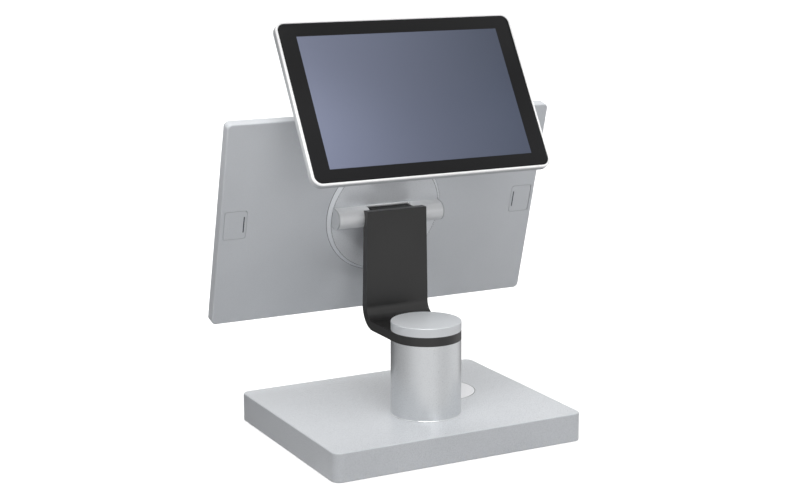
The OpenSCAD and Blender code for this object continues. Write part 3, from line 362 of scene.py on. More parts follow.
# Draws a thin dark ring into a material: a dark joint round the reader pad, and painted shade at the crease
# of the rear cover's rim.
def joint_and_shade_line(material, matrix, radius, reach, line_tone):
    nodes = material.node_tree.nodes
    links = material.node_tree.links
    level = nodes.new("ShaderNodeMapping")
    level.vector_type = "TEXTURE"
    level.inputs["Location"].default_value = matrix.to_translation()
    level.inputs["Rotation"].default_value = matrix.to_euler()
    flat = nodes.new("ShaderNodeVectorMath")
    flat.operation = "MULTIPLY"
    flat.inputs[1].default_value = (1, 1, 0)
    distance = nodes.new("ShaderNodeVectorMath")
    distance.operation = "LENGTH"
    line = nodes.new("ShaderNodeMath")
    line.operation = "COMPARE"
    line.inputs[1].default_value = radius
    line.inputs[2].default_value = reach
    line_mixed = nodes.new("ShaderNodeMix")
    line_mixed.data_type = "RGBA"
    line_mixed.inputs[7].default_value = (*line_tone, 1)
    links.new(nodes["place"].outputs["Object"], level.inputs["Vector"])
    links.new(level.outputs["Vector"], flat.inputs[0])
    links.new(flat.outputs["Vector"], distance.inputs[0])
    links.new(distance.outputs["Value"], line.inputs[0])
    links.new(line.outputs["Value"], line_mixed.inputs["Factor"])
    links.new(nodes["tone"].outputs["Color"], line_mixed.inputs[6])
    links.new(line_mixed.outputs[2], nodes["Principled BSDF"].inputs["Base Color"])


pad_white = grained(
    "pad_white", dark=(0.91, 0.915, 0.93), light=(0.95, 0.955, 0.97),
    grain=0.0008, rough=(0.35, 0.5), bump=0.000006,
)
pad_middle = (pad_low + pad_high) / 2
pad_radius = (pad_high.x - pad_low.x) / 2
joint_and_shade_line(pad_white, Matrix.Translation(pad_middle), pad_radius, joint_reach, line_tone=(0.16, 0.16, 0.17))
dressed(pad_white, "reader_pad")


# Reader board and its coil
# A round green board under the pad, with one chip in the middle and a flat coil of copper wire round it.
# The turns of the coil lie half sunk in the ring under the board, 1 mm higher than the chip's underside.
wire_radius = 0.0002
coil_turns = 6
coil_pitch = 0.00045
coil_inner = 0.0302
coil_above_chip = 0.001


def ring(name, tube, sides, circle, steps, centre, material):
    bpy.ops.object.select_all(action="DESELECT")
    bpy.ops.mesh.primitive_circle_add(vertices=sides, radius=tube)
    piece = bpy.context.object
    piece.name = name
    bpy.ops.object.mode_set(mode="EDIT")
    bpy.ops.mesh.select_all(action="SELECT")
    bpy.ops.transform.rotate(value=math.pi / 2, orient_axis="X", center_override=(0, 0, 0))
    bpy.ops.transform.translate(value=(centre[0] + circle, centre[1], centre[2]))
    bpy.ops.mesh.spin(steps=steps, angle=2 * math.pi, center=centre, axis=(0, 0, 1))
    bpy.ops.mesh.select_all(action="SELECT")
    bpy.ops.mesh.remove_doubles(threshold=0.00001)
    bpy.ops.mesh.normals_make_consistent(inside=False)
    bpy.ops.object.mode_set(mode="OBJECT")
    bpy.ops.object.shade_smooth()
    piece.data.materials.append(material)
    return piece


def joined(pieces, name, body, matrix=None):
    bpy.ops.object.select_all(action="DESELECT")
    for piece in pieces:
        piece.select_set(True)
    bpy.context.view_layer.objects.active = pieces[0]
    if len(pieces) > 1:
        bpy.ops.object.join()
    whole = bpy.context.object
    whole.name = name
    if matrix is not None:
        whole.matrix_world = matrix
        bpy.ops.object.transform_apply(location=True, rotation=True, scale=True)
    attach(whole, body)


board_green = grained(
    "board_green", dark=(0.012, 0.09, 0.04), light=(0.02, 0.13, 0.06),
    grain=0.0012, rough=(0.3, 0.5), bump=0.00002,
)
coil_copper = grained(
    "coil_copper", dark=(0.45, 0.2, 0.1), light=(0.62, 0.3, 0.16),
    grain=0.0004, rough=(0.25, 0.4), bump=0.000004, metal=1,
)
dressed(board_green, "reader_board")
board_low, board_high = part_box("reader_board")
coil_centre = (
    (board_low.x + board_high.x) / 2,
    (board_low.y + board_high.y) / 2,
    board_low.z + coil_above_chip,
)
coil = [
    ring(
        "turn", tube=wire_radius, sides=8, circle=coil_inner + turn * coil_pitch, steps=72,
        centre=coil_centre, material=coil_copper,
    )
    for turn in range(coil_turns)
]
joined(coil, "reader_coil", "base")


# Connection board and its sockets
# A small circuit board on four standoffs, with the network, two USB and the power sockets at the rear wall.
# The shells are tinned steel with gold plated contacts, and the power inlet is a black block with a pin.
socket_tin = grained(
    "socket_tin", dark=(0.5, 0.5, 0.49), light=(0.68, 0.68, 0.67),
    grain=0.001, rough=(0.2, 0.35), bump=0.000005, metal=1,
)
socket_black = grained(
    "socket_black", dark=(0.01, 0.01, 0.011), light=(0.025, 0.025, 0.027),
    grain=0.0005, rough=(0.4, 0.6),
)
contact_gold = grained(
    "contact_gold", dark=(0.62, 0.42, 0.14), light=(0.8, 0.58, 0.24),
    grain=0.0004, rough=(0.18, 0.3), bump=0.000002, metal=1,
)
dressed(board_green, "io_board")
dressed(socket_tin, "lan_socket", "usb_sockets")
dressed(socket_black, "power_inlet")


level_slope = 0.000001


def select_edges(piece, wanted, level=False):
    mesh = piece.data
    for group in (mesh.vertices, mesh.edges, mesh.polygons):
        group.foreach_set("select", [False] * len(group))
    for edge in mesh.edges:
        start, end = (mesh.vertices[i].co for i in edge.vertices)
        kept = not level or abs(start.z - end.z) < level_slope
        edge.select = kept and wanted(start) and wanted(end)
    bpy.context.tool_settings.mesh_select_mode = (False, True, False)
    bpy.ops.object.mode_set(mode="EDIT")


def bevel(width, segments):
    bpy.ops.mesh.bevel(offset=width, segments=segments, affect="EDGES")
    bpy.ops.object.mode_set(mode="OBJECT")


def drawn(*steps):
    bpy.ops.mesh.select_mode(type="FACE")
    for step in steps:
        bpy.ops.mesh.extrude_region_move(TRANSFORM_OT_translate={"value": step})
    bpy.ops.object.mode_set(mode="OBJECT")


def block(name, size, centre):
    bpy.ops.object.select_all(action="DESELECT")
    bpy.ops.mesh.primitive_cube_add(size=1)
    piece = bpy.context.object
    piece.name = name
    bpy.ops.object.mode_set(mode="EDIT")
    bpy.ops.mesh.select_all(action="SELECT")
    bpy.ops.transform.resize(value=size)
    bpy.ops.transform.translate(value=centre)
    bpy.ops.object.mode_set(mode="OBJECT")
    return piece


def row_of(piece, count, pitch):
    bpy.context.view_layer.objects.active = piece
    bpy.ops.object.mode_set(mode="EDIT")
    bpy.ops.mesh.select_all(action="SELECT")
    for copy in range(count - 1):
        bpy.ops.mesh.duplicate_move(TRANSFORM_OT_translate={"value": (pitch, 0, 0)})
    bpy.ops.object.mode_set(mode="OBJECT")


# Eight springs run from the back of the network socket's mouth and fold down and back at their front ends.
lan_springs = 8
lan_pitch = 0.00102
lan_spring = (0.0005, 0.0076, 0.0003)
lan_spring_setback = 0.0083
lan_spring_drop = 0.0036
lan_spring_nose = (0, 0.0007, -0.0003)
lan_spring_fold = (0, -0.0021, -0.0012)
lan_low, lan_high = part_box("lan_socket")
lan_spring_middle = lan_high.y - lan_spring_setback
springs = block("lan_contacts", lan_spring, (
    (lan_low.x + lan_high.x) / 2 - (lan_springs - 1) / 2 * lan_pitch,
    lan_spring_middle,
    lan_high.z - lan_spring_drop,
))
select_edges(springs, lambda point: point.y > lan_spring_middle)
drawn(lan_spring_nose, lan_spring_fold)
row_of(springs, lan_springs, lan_pitch)
springs.data.materials.append(contact_gold)
joined([springs], "lan_contacts", "base")

# Two small lights sit in the upper corners of the network socket's face.
lan_window = (0.0024, 0.0003, 0.0014)
lan_window_inset = 0.0024
lan_window_drop = 0.0013
lan_window_rounding = 0.00012
lan_lights = []
for light_name, light_x, light_dark, light_pale in (
    ("link", lan_low.x + lan_window_inset, (0.02, 0.2, 0.03), (0.03, 0.3, 0.05)),
    ("traffic", lan_high.x - lan_window_inset, (0.35, 0.16, 0.01), (0.5, 0.25, 0.02)),
):
    window = block(light_name, lan_window, (light_x, lan_high.y, lan_high.z - lan_window_drop))
    select_edges(window, lambda point: point.y > lan_high.y)
    bevel(lan_window_rounding, segments=2)
    window.data.materials.append(grained(
        "lan_" + light_name, dark=light_dark, light=light_pale,
        grain=0.0005, rough=(0.15, 0.25), bump=0.000002,
    ))
    lan_lights.append(window)
joined(lan_lights, "lan_lights", "base")

# Four flat contacts lie on the underside of each USB tongue, with their front ends rounded.
usb_strips = 4
usb_pitch = 0.00233
usb_strip = (0.001, 0.0062, 0.0002)
usb_strip_setback = 0.0065
usb_strip_rounding = 0.00008
usb_tongue_drop = 0.00085
usb_first_strip = 0.0035
usb_half_width = 0.0072
usb_low, usb_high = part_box("usb_sockets")
usb_strip_middle = usb_high.y - usb_strip_setback
usb_contacts = []
for usb_middle in (usb_low.x + usb_half_width, usb_high.x - usb_half_width):
    strips = block("usb_contacts", usb_strip, (
        usb_middle - usb_first_strip,
        usb_strip_middle,
        (usb_low.z + usb_high.z) / 2 - usb_tongue_drop,
    ))
    select_edges(strips, lambda point: point.y > usb_strip_middle, level=True)
    bevel(usb_strip_rounding, segments=2)
    row_of(strips, usb_strips, usb_pitch)
    strips.data.materials.append(contact_gold)
    usb_contacts.append(strips)
joined(usb_contacts, "usb_contacts", "base")


# Components of the connection board
# Black moulded chips with tinned legs and round capacitors, soldered to the top of the board.
# They fill the strip between the sockets and the front edge of the board.
chip_black = grained(
    "chip_black", dark=(0.012, 0.012, 0.013), light=(0.028, 0.028, 0.03),
    grain=0.0004, rough=(0.45, 0.65), bump=0.000008,
)
can_silver = grained(
    "can_silver", dark=(0.5, 0.5, 0.51), light=(0.7, 0.7, 0.71),
    grain=0.0008, rough=(0.2, 0.35), bump=0.000004, metal=1,
)
chip_lift = 0.0002
chip_bevel_share = 0.2
leg_root = 0.0005
leg_out = 0.0002
leg_thickness = 0.00015
leg_width_share = 0.4
leg_height_share = 0.45
leg_drop_share = 0.35
leg_bend = 0.0003
leg_foot = 0.0004
can_sides = 24
can_top_share = 0.18
can_foot_share = 0.1
can_smooth = math.radians(40)


def chip(place, width, depth, height, legs):
    body = block("chip", (width, depth, height), place + Vector((0, 0, height / 2 + chip_lift)))
    select_edges(body, lambda point: point.z > place.z + height)
    bevel(height * chip_bevel_share, segments=1)
    body.data.materials.append(chip_black)
    parts = [body]
    pitch = width / legs
    leg_size = (pitch * leg_width_share, leg_root, leg_thickness)
    for side in (-1, 1):
        root = side * (depth / 2 + leg_out)
        leg_place = Vector((pitch / 2 - width / 2, root, height * leg_height_share))
        leg = block("leg", leg_size, place + leg_place)
        select_edges(leg, lambda point: (point.y - place.y - root) * side > 0)
        drawn((0, side * leg_bend, -height * leg_drop_share), (0, side * leg_foot, 0))
        row_of(leg, legs, pitch)
        leg.data.materials.append(socket_tin)
        parts.append(leg)
    return parts


def can(place, radius, height):
    bpy.ops.object.select_all(action="DESELECT")
    bpy.ops.mesh.primitive_cylinder_add(
        vertices=can_sides, radius=radius, depth=height, location=place + Vector((0, 0, height / 2))
    )
    body = bpy.context.object
    bpy.ops.object.transform_apply(location=True, rotation=True, scale=True)
    middle = place.z + height / 2
    select_edges(body, lambda point: point.z > middle)
    bevel(radius * can_top_share, segments=3)
    select_edges(body, lambda point: point.z < middle)
    bevel(radius * can_foot_share, segments=2)
    bpy.ops.object.shade_smooth_by_angle(angle=can_smooth)
    body.data.materials.append(can_silver)
    return body


def populated(name, body, matrix, chips, cans, chip_depth, chip_height, can_radius, can_height):
    parts = []
    for x, y, width, legs in chips:
        parts += chip(Vector((x, y, 0)), width, chip_depth, chip_height, legs)
    for x, y in cans:
        parts.append(can(Vector((x, y, 0)), can_radius, can_height))
    joined(parts, name, body, matrix)


io_low, io_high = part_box("io_board")
io_chip_row = 0.0065
io_can_row = 0.006
io_chips = [(x, io_chip_row, width, legs) for x, width, legs in (
    (-0.028, 0.010, 8), (-0.004, 0.014, 12), (0.022, 0.008, 6),
)]
io_cans = [(x, io_can_row) for x in (-0.044, 0.034, 0.046)]
io_corner = Matrix.Translation((0, io_low.y, io_high.z))
populated(
    "io_board_components", "base", io_corner, io_chips, io_cans,
    chip_depth=0.006, chip_height=0.0016, can_radius=0.0028, can_height=0.006,
)


# Post
# Drawn aluminium tube with a small chamfer at its foot, blasted and anodised, and brighter than the paint.
# Two turned plugs are pressed into its ends, and four bolts pull the lower one down on the base.
# A polished bead lies round its foot.
post_silver = grained(
    "post_silver", dark=(0.62, 0.635, 0.65), light=(0.68, 0.695, 0.71),
    grain=0.0004, rough=(0.26, 0.34), bump=0.000004, metal=0.75,
)
plug_aluminium = grained(
    "plug_aluminium", dark=(0.45, 0.45, 0.46), light=(0.62, 0.62, 0.63),
    grain=0.0006, rough=(0.3, 0.45), bump=0.000006, metal=1,
)
bead_bright = grained(
    "bead_bright", dark=(0.93, 0.935, 0.94), light=(0.96, 0.965, 0.97),
    grain=0.0006, rough=(0.1, 0.16), bump=0.000002, metal=1,
)
dressed(post_silver, "post_tube")
dressed(plug_aluminium, "post_foot_plug", "post_head_plug")
dressed(screw_steel, "post_bolts")

bead_radius = 0.0006
bead_circle = 0.0341
bead_centre = (0, 0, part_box("post_tube")[0].z + bead_radius)
bead = ring(
    "post_foot_bead", tube=bead_radius, sides=10, circle=bead_circle, steps=128,
    centre=bead_centre, material=bead_bright,
)
joined([bead], "post_foot_bead", "base")


# Swivel
# The arm's ring turns on a steel stud between two slippery washers, under a plate, a disc spring and a nut.
# A pin in the head plug runs in a slot under the ring and stops the turn at both ends.
washer_white = grained(
    "washer_white", dark=(0.6, 0.6, 0.58), light=(0.72, 0.72, 0.7),
    grain=0.0008, rough=(0.4, 0.55),
)
spring_steel = grained(
    "spring_steel", dark=(0.2, 0.2, 0.21), light=(0.34, 0.34, 0.36),
    grain=0.0006, rough=(0.3, 0.45), bump=0.000005, metal=1,
)
dressed(screw_steel, "swivel_stop_pin", "swivel_stud", "swivel_clamp_plate", "swivel_nut")
dressed(washer_white, "swivel_lower_washer", "swivel_upper_washer")
dressed(spring_steel, "swivel_disc_spring")


# Post cap
# A turned aluminium lid that is pressed over the clamp plate, and stays still while the arm turns below it.
# It is sprayed satin silver, and its top is flat with a fine chamfer that catches the light.
cap_satin = grained(
    "cap_satin", dark=(0.67, 0.69, 0.71), light=(0.75, 0.77, 0.79),
    grain=0.0004, rough=(0.34, 0.44), bump=0.000006, metal=0.12,
)
dressed(cap_satin, "post_cap")


# Arm, cable cover and harness
# One bent strip of 9 mm aluminium with a round ring at its foot, powder coated black with a fine texture.
# A flat cable runs in a groove under its foot and up its back, behind a snap cover of black plastic.
powder_black = grained(
    "powder_black", dark=(0.0175, 0.0172, 0.0172), light=(0.021, 0.0206, 0.0206),
    grain=0.0007, rough=(0.32, 0.4), bump=0.000006, edge=0.0005,
)
cover_black = grained(
    "cover_black", dark=(0.018, 0.018, 0.019), light=(0.03, 0.03, 0.031),
    grain=0.0005, rough=(0.5, 0.65),
)
cable_black = grained(
    "cable_black", dark=(0.01, 0.01, 0.01), light=(0.02, 0.02, 0.02),
    grain=0.001, rough=(0.5, 0.7), bump=0.00002,
)
ribbed(cable_black, pitch=0.00127, height=0.0004)
dressed(powder_black, "arm")
dressed(cover_black, "arm_cable_cover")
dressed(cable_black, "arm_harness")


# Knuckle
# A cast steel block that carries the tilt shaft, coated in a duller black than the arm.
# Four socket head screws, sunk into its foot, hold it to the back of the arm.
knuckle_black = grained(
    "knuckle_black", dark=(0.005, 0.005, 0.005), light=(0.008, 0.008, 0.008),
    grain=0.0007, rough=(0.4, 0.5), specular=0.12, edge=0.0004,
)
dressed(knuckle_black, "arm_knuckle")
dressed(screw_steel, "knuckle_screws")


# Tilt hinge
# The barrel is an aluminium extrusion in satin silver, open in the middle for the knuckle, with end caps;
# its silver is painted paler than the rear cover's, as painted light where the customer display shades it.
# Disc springs and nuts in it press bronze washers on the knuckle, so that the screens stay as they are set.
# A paler copy of the satin silver: painted light on the barrel.
barrel_lit_silver = grained(
    "barrel_lit_silver", dark=(0.70, 0.71, 0.72), light=(0.78, 0.79, 0.80),
    grain=0.0005, rough=(0.3, 0.4), bump=0.000004, metal=0.12, edge=0.0004,
)
cap_silver = grained(
    "cap_silver", dark=(0.41, 0.425, 0.44), light=(0.48, 0.495, 0.51),
    grain=0.0005, rough=(0.36, 0.46), bump=0.000004, metal=0.12, edge=0.0003,
)
washer_bronze = grained(
    "washer_bronze", dark=(0.35, 0.2, 0.08), light=(0.52, 0.32, 0.14),
    grain=0.0008, rough=(0.3, 0.45), bump=0.000006, metal=1,
)
dressed(barrel_lit_silver, "hinge_barrel")
dressed(cap_silver, "barrel_end_caps")
dressed(washer_bronze, "tilt_friction_washers")
dressed(spring_steel, "tilt_disc_springs")
dressed(screw_steel, "tilt_shaft", "tilt_nuts", "barrel_screws")


# Mounting disc
# A thick aluminium disc screwed to the chassis from inside; barrel and bracket are fixed to it.
# It is sprayed silver, smoother than the rear cover, and a thin rubber seal fills the joint round it.
disc_silver = grained(
    "disc_silver", dark=(0.68, 0.7, 0.725), light=(0.75, 0.77, 0.795),
    grain=0.0005, rough=(0.26, 0.34), bump=0.000002, metal=0.12,
)
seal_rubber = grained(
    "seal_rubber", dark=(0.01, 0.01, 0.011), light=(0.022, 0.022, 0.024),
    grain=0.0004, rough=(0.7, 0.9),
)
dressed(disc_silver, "hinge_disc")
dressed(screw_steel, "disc_screws")

main_lean = 15
main_drop = 0.0017


# In the frame of a screen X runs along its tilt axis, Y up the screen and Z towards the customer.
def screen_frame(joint_name, turn):
    pivot = next(joint["pos_m"] for joint in frame["joints"] if joint["name"] == joint_name)
    return Matrix.Translation(pivot) @ Matrix.Rotation(math.radians(turn), 4, "X")


head_frame = screen_frame("main_tilt", 90 + main_lean)
main_middle = head_frame @ Matrix.Translation((0, -main_drop, 0))

seal_radius = 0.05978
seal_width = 0.00026
seal_depth = 0.0012
seal_face = -0.0064
bpy.ops.object.select_all(action="DESELECT")
bpy.ops.mesh.primitive_circle_add(vertices=128, radius=seal_radius, fill_type="NGON")
seal = bpy.context.object
bpy.ops.object.mode_set(mode="EDIT")
bpy.ops.mesh.select_all(action="SELECT")
bpy.ops.mesh.inset(thickness=seal_width, depth=0)
bpy.ops.mesh.delete(type="FACE")
bpy.ops.mesh.select_all(action="SELECT")
bpy.ops.mesh.extrude_region_move(TRANSFORM_OT_translate={"value": (0, 0, -seal_depth)})
bpy.ops.mesh.select_all(action="SELECT")
bpy.ops.mesh.normals_make_consistent(inside=False)
bpy.ops.object.mode_set(mode="OBJECT")
seal.data.materials.append(seal_rubber)
joined([seal], "disc_seal", "head", main_middle @ Matrix.Translation((0, 0, seal_face)))


# Main unit
# The rear cover is a magnesium casting sprayed in satin silver, with a raised round rim for the disc.
# It closes over a pressed chassis, and the touch glass fills its front.
# A thin dark line of painted shade marks the crease at the foot of the rim.
crease_shade_radius = 0.06335
crease_shade_reach = 0.0002
cover_silver = grained(
    "cover_silver", dark=(0.585, 0.605, 0.63), light=(0.665, 0.685, 0.71),
    grain=0.0005, rough=(0.36, 0.46), bump=0.000004, metal=0.12,
)
chassis_steel = grained(
    "chassis_steel", dark=(0.4, 0.41, 0.42), light=(0.56, 0.57, 0.58),
    grain=0.003, rough=(0.3, 0.45), metal=1,
)
panel_grey = grained(
    "panel_grey", dark=(0.05, 0.055, 0.06), light=(0.08, 0.085, 0.09),
    grain=0.001, rough=(0.25, 0.4), bump=0.000005,
)
# The dark ring drawn on the cover at the foot of the rim is painted shade.
joint_and_shade_line(cover_silver, main_middle, crease_shade_radius, crease_shade_reach, line_tone=(0.12, 0.12, 0.125))
dressed(cover_silver, "main_rear_cover")
dressed(chassis_steel, "main_chassis")
dressed(screw_steel, "chassis_screws")
dressed(panel_grey, "main_lcd_panel")


# Computer board
# A green circuit board beside the disc, with chips and capacitors in the strips between its large blocks.
# Its frame has its origin in the middle of the board's top face.
dressed(board_green, "main_board")
board_middle = Matrix.Translation((-0.103825, 0, -0.01395))
main_board_frame = main_middle @ board_middle
main_chip_rows = (
    (0.008, ((-0.026, 0.010, 8), (-0.008, 0.012, 10), (0.012, 0.010, 8), (0.028, 0.008, 6))),
    (0.040, ((-0.028, 0.009, 7), (0.028, 0.009, 7))),
    (0.058, ((-0.028, 0.009, 7), (0.028, 0.009, 7))),
    (-0.036, ((-0.020, 0.011, 9), (0.000, 0.011, 9), (0.020, 0.011, 9))),
)
main_chips = [(x, row, width, legs) for row, chips in main_chip_rows for x, width, legs in chips]
main_can_row = 0.068
main_cans = [(x, main_can_row) for x in (-0.032, -0.026, 0.026, 0.032)]
populated(
    "main_board_components", "head", main_board_frame, main_chips, main_cans,
    chip_depth=0.006, chip_height=0.0012, can_radius=0.002, can_height=0.0014,
)


# Speakers
# Two black boxes along the lower edge of the unit, each with an oval cone of black paper.
# The cone has a raised roll at its edge, a sunk ring inside that and a raised flat middle.
cone_paper = grained(
    "cone_paper", dark=(0.02, 0.02, 0.021), light=(0.05, 0.05, 0.052),
    grain=0.0003, rough=(0.6, 0.8), bump=0.00003,
)
dressed(socket_black, "main_speakers")
cone_oval = (0.019, 0.0062, 1)
cone_lift = 0.0003
cone_rings = ((0.0008, 0.0002), (0.0008, -0.0003), (0.0016, 0.0001), (0.001, 0.0002))
cone_side = 0.116825
cone_height = -0.086
speaker_face = -0.01275
cone_smooth = math.radians(50)
cones = []
for cone_x in (-cone_side, cone_side):
    bpy.ops.object.select_all(action="DESELECT")
    bpy.ops.mesh.primitive_circle_add(vertices=48, radius=1, fill_type="NGON")
    cone = bpy.context.object
    bpy.ops.object.mode_set(mode="EDIT")
    bpy.ops.mesh.select_all(action="SELECT")
    bpy.ops.transform.resize(value=cone_oval)
    bpy.ops.mesh.extrude_region_move(TRANSFORM_OT_translate={"value": (0, 0, cone_lift)})
    for ring_width, ring_rise in cone_rings:
        bpy.ops.mesh.inset(thickness=ring_width, depth=ring_rise)
    bpy.ops.mesh.select_all(action="SELECT")
    bpy.ops.transform.translate(value=(cone_x, cone_height, speaker_face))
    bpy.ops.object.mode_set(mode="OBJECT")
    bpy.ops.object.shade_smooth_by_angle(angle=cone_smooth)
    cone.data.materials.append(cone_paper)
    cones.append(cone)
joined(cones, "speaker_cones", "head", main_middle)


# Power button and switch
# The button is a small sprayed key with a flange inside the cover's side wall, so that it can't fall out.
# It presses a black switch on the chassis.
dressed(satin_silver, "power_button")
dressed(socket_black, "power_switch")


# Port covers and the sockets behind them
# Two small doors of the same sprayed metal as the rear cover, which swing out on pins at their outer edges.
# A strip of dark blue rubber lies in the nail slot of each, a tenth of a millimetre below the door's face.
dressed(socket_black, "accessory_sockets")
dressed(cover_silver, "port_cover_left", "port_cover_right")
slot_blue = grained(
    "slot_blue", dark=(0.004, 0.009, 0.02), light=(0.008, 0.016, 0.035),
    grain=0.0004, rough=(0.5, 0.7),
)
liner_width = 0.00116
liner_height = 0.0167
liner_corner = 0.0005
liner_thickness = 0.0007
liner_side = 0.15185
liner_middle = 0.0011
liner_foot = -0.01086
sheet_smooth = math.radians(35)


def rounded_sheet(name, width, height, corner):
    bpy.ops.object.select_all(action="DESELECT")
    bpy.ops.mesh.primitive_plane_add(size=1)
    sheet = bpy.context.object
    sheet.name = name
    bpy.ops.object.mode_set(mode="EDIT")
    bpy.ops.mesh.select_all(action="SELECT")
    bpy.ops.transform.resize(value=(width, height, 1))
    bpy.ops.mesh.bevel(offset=corner, segments=14, affect="VERTICES")
    bpy.ops.mesh.select_all(action="SELECT")
    return sheet


def thickened(thickness):
    bpy.ops.mesh.extrude_region_move(TRANSFORM_OT_translate={"value": (0, 0, thickness)})
    bpy.ops.mesh.select_all(action="SELECT")
    bpy.ops.mesh.normals_make_consistent(inside=False)
    bpy.ops.object.mode_set(mode="OBJECT")


def placed(piece, matrix, place, material):
    piece.matrix_world = matrix @ Matrix.Translation(place)
    bpy.ops.object.transform_apply(location=True, rotation=True, scale=True)
    bpy.ops.object.shade_smooth_by_angle(angle=sheet_smooth)
    piece.data.materials.append(material)


for cover_name, liner_x in (("port_cover_left", -liner_side), ("port_cover_right", liner_side)):
    liner = rounded_sheet(cover_name + "_slot", liner_width, liner_height, liner_corner)
    thickened(liner_thickness)
    placed(liner, main_middle, (liner_x, liner_middle, liner_foot), slot_blue)
    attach(liner, cover_name)


# Bracket and hinge of the customer display
# A bent steel bracket, coated as the arm, is screwed to the disc and ends in two lugs.
# A steel pin with a nut passes through them and through the block that is screwed to the display's shell.
dressed(powder_black, "customer_bracket", "customer_hinge_block")
dressed(screw_steel, "bracket_screws", "customer_hinge_pin", "customer_hinge_nut", "hinge_block_screws")


# Customer display
# A small screen in a grey moulded shell, with its panel and its driver board inside.
# It faces the customer and leans back by 31.5 degrees; its frame has its origin on the pin of its hinge.
shell_grey = grained(
    "shell_grey", dark=(0.44, 0.453, 0.467), light=(0.53, 0.543, 0.557),
    grain=0.0006, rough=(0.4, 0.55),
)
dressed(shell_grey, "customer_rear_shell")
dressed(panel_grey, "customer_lcd_panel")
dressed(board_green, "customer_board")
customer_lean = 31.5
customer_frame = screen_frame("customer_tilt", 90 - customer_lean)

driver_middle = Matrix.Translation((0, 0.040, 0.012))
driver_frame = customer_frame @ driver_middle
driver_chips = (
    (-0.024, 0.004, 0.014, 12), (0.004, 0.006, 0.010, 8),
    (0.026, 0.002, 0.012, 10), (0.008, -0.012, 0.008, 6),
)
driver_can_row = -0.012
driver_cans = [(x, driver_can_row) for x in (-0.038, -0.031, 0.038)]
populated(
    "customer_board_components", "customer_screen", driver_frame, driver_chips, driver_cans,
    chip_depth=0.007, chip_height=0.0015, can_radius=0.0025, can_height=0.0024,
)


# Rim of the customer display
# A glossy white moulded frame that lies on the front edge of the shell, round the glass.
# Its outer edge is well rounded, and a fine gap runs between it and the glass.
rim_white = grained(
    "rim_white", dark=(0.86, 0.86, 0.86), light=(0.9, 0.9, 0.9),
    grain=0.0015, rough=(0.12, 0.2), bump=0.000002, edge=0.0008,
)
glass_width = 0.251
glass_height = 0.1623
glass_corner = 0.0075
glass_gap = 0.0003
glass_seat = (0, 0.009, 0.0174)
rim_width = 0.0026
rim_depth = 0.0018
rim_rounding = 0.0011
rim_outline = (glass_width + 2 * rim_width, glass_height + 2 * rim_width, glass_corner + rim_width)
near_outline = 0.0002
near_face = 0.00001


def eased(sheet, outline, depth, rounding, segments):
    width, height, corner = outline

    def on_outline(point):
        reach_x = max(abs(point.x) - (width / 2 - corner), 0)
        reach_y = max(abs(point.y) - (height / 2 - corner), 0)
        from_outline = abs(math.hypot(reach_x, reach_y) - corner)
        return from_outline < near_outline and abs(point.z - depth) < near_face

    select_edges(sheet, on_outline)
    bevel(rounding, segments)


rim = rounded_sheet("customer_rim", *rim_outline)
bpy.ops.mesh.inset(thickness=rim_width - glass_gap, depth=0)
bpy.ops.mesh.delete(type="FACE")
bpy.ops.mesh.select_all(action="SELECT")
thickened(rim_depth)
eased(rim, rim_outline, rim_depth, rim_rounding, segments=5)
placed(rim, customer_frame, glass_seat, rim_white)
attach(rim, "customer_screen")
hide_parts("customer_bezel")


# Customer glass
# Toughened glass, 1.8 mm thick with ground edges, printed black from behind round the window of the screen;
# the print's black is painted paler at the bottom and darker at the top, as painted light and shade.
# Its window is painted with a wash from pale blue grey on the left to dark on the right, a painted
# reflection on the dark screen.
glass_rounding = 0.0004
glass_specular = 0.12
glass_polish = (0.16, 0.2)
smudge_scale = 30
smudge_detail = 5
# The print's black grows paler from top to bottom: painted light and shade.
painted_print_bottom = (0.0135, 0.0135, 0.0143)
painted_print_top = (0.008, 0.008, 0.0085)
print_edge = 0.0001


def glass_sheet(name, outline, thickness, matrix, place, material):
    sheet = rounded_sheet(name, *outline)
    thickened(thickness)
    eased(sheet, outline, thickness, glass_rounding, segments=3)
    placed(sheet, matrix, place, material)
    return sheet


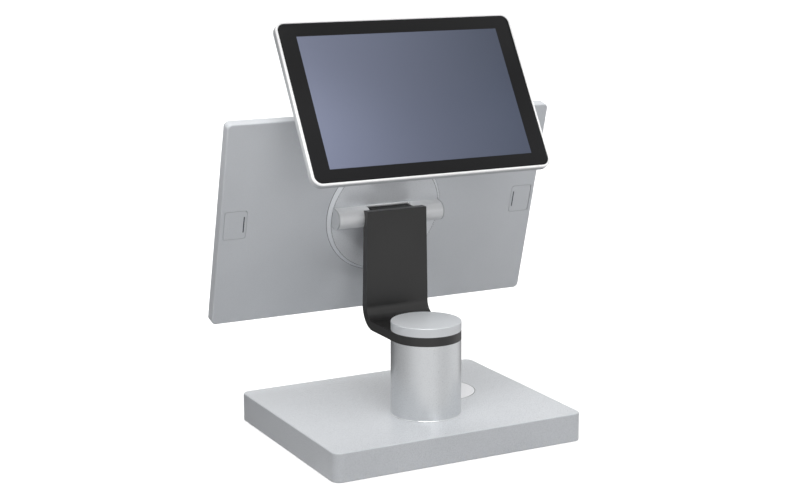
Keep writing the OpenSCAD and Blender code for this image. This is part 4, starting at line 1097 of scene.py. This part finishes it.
def printed_glass_with_painted_light(name, matrix, centre, window, left, right):
    material = bpy.data.materials.new(name)
    material.use_nodes = True
    nodes = material.node_tree.nodes
    links = material.node_tree.links
    shader = nodes["Principled BSDF"]
    shader.inputs["Specular IOR Level"].default_value = glass_specular
    half_width = window[0] / 2
    half_height = window[1] / 2

    def faded(low, high, at_low, at_high):
        fade = nodes.new("ShaderNodeValToRGB")
        fade.color_ramp.elements[0].color = (*at_low, 1)
        fade.color_ramp.elements[1].color = (*at_high, 1)
        span = mapped(nodes, low, high, 0, 1)
        links.new(span.outputs["Result"], fade.inputs["Fac"])
        return span.inputs["Value"], fade.outputs["Color"]

    place = nodes.new("ShaderNodeTexCoord")
    level = nodes.new("ShaderNodeMapping")
    level.vector_type = "TEXTURE"
    level.inputs["Location"].default_value = matrix @ Vector(centre)
    level.inputs["Rotation"].default_value = matrix.to_euler()
    axes = nodes.new("ShaderNodeSeparateXYZ")
    links.new(place.outputs["Object"], level.inputs["Vector"])
    links.new(level.outputs["Vector"], axes.inputs["Vector"])
    in_window = nodes.new("ShaderNodeMath")
    in_window.operation = "MULTIPLY"
    for side, (axis, half) in enumerate((("X", half_width), ("Y", half_height))):
        away = nodes.new("ShaderNodeMath")
        away.operation = "ABSOLUTE"
        within = mapped(nodes, half - print_edge, half + print_edge, 1, 0)
        links.new(axes.outputs[axis], away.inputs[0])
        links.new(away.outputs["Value"], within.inputs["Value"])
        links.new(within.outputs["Result"], in_window.inputs[side])
    # The wash across the window is a painted reflection, pale on one side and dark on the other.
    reflection_from, painted_reflection = faded(-half_width, half_width, left, right)
    print_from, print_with_painted_shade = faded(-half_height, half_height, painted_print_bottom, painted_print_top)
    links.new(axes.outputs["X"], reflection_from)
    links.new(axes.outputs["Y"], print_from)
    shown = nodes.new("ShaderNodeMix")
    shown.data_type = "RGBA"
    links.new(in_window.outputs["Value"], shown.inputs["Factor"])
    links.new(print_with_painted_shade, shown.inputs[6])
    links.new(painted_reflection, shown.inputs[7])
    links.new(shown.outputs[2], shader.inputs["Base Color"])
    smudge = nodes.new("ShaderNodeTexNoise")
    smudge.inputs["Scale"].default_value = smudge_scale
    smudge.inputs["Detail"].default_value = smudge_detail
    polish = mapped(nodes, noise_low, noise_high, *glass_polish)
    links.new(place.outputs["Object"], smudge.inputs["Vector"])
    links.new(smudge.outputs["Fac"], polish.inputs["Value"])
    links.new(polish.outputs["Result"], shader.inputs["Roughness"])
    return material


customer_window = (0.217, 0.1356)
customer_window_centre = (0, 0.00865, 0.0192)
customer_print_and_reflection = printed_glass_with_painted_light(
    "customer_glass_print_and_reflection", customer_frame, customer_window_centre, customer_window,
    left=(0.178, 0.197, 0.272), right=(0.068, 0.08, 0.115),
)
glass_outline = (glass_width, glass_height, glass_corner)
glass = glass_sheet(
    "customer_cover_glass", glass_outline, rim_depth, customer_frame, glass_seat, customer_print_and_reflection
)
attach(glass, "customer_screen")
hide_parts("customer_glass")


# Touch glass
# The operator's glass fills the whole front of the main unit, 0.15 mm inside its wall, and has ground edges.
# It is printed black round a window for the display, which is off; the print is painted paler towards the
# bottom, and the window is painted dark blue grey, darker on the left and paler on the right, as a painted
# reflection.
touch_outline = (0.3498, 0.2085, 0.00325)
touch_thickness = 0.0016
touch_back = -0.01895
touch_window = (0.3256, 0.1836)
touch_print_and_reflection = printed_glass_with_painted_light(
    "main_glass_print_and_reflection", head_frame, (0, -main_drop, touch_back - touch_thickness), touch_window,
    left=(0.045, 0.055, 0.08), right=(0.1, 0.115, 0.16),
)
touch_seat = (0, -main_drop, touch_back)
touch = glass_sheet(
    "main_cover_glass", touch_outline, -touch_thickness, head_frame, touch_seat, touch_print_and_reflection
)
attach(touch, "head")
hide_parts("main_touch_glass")
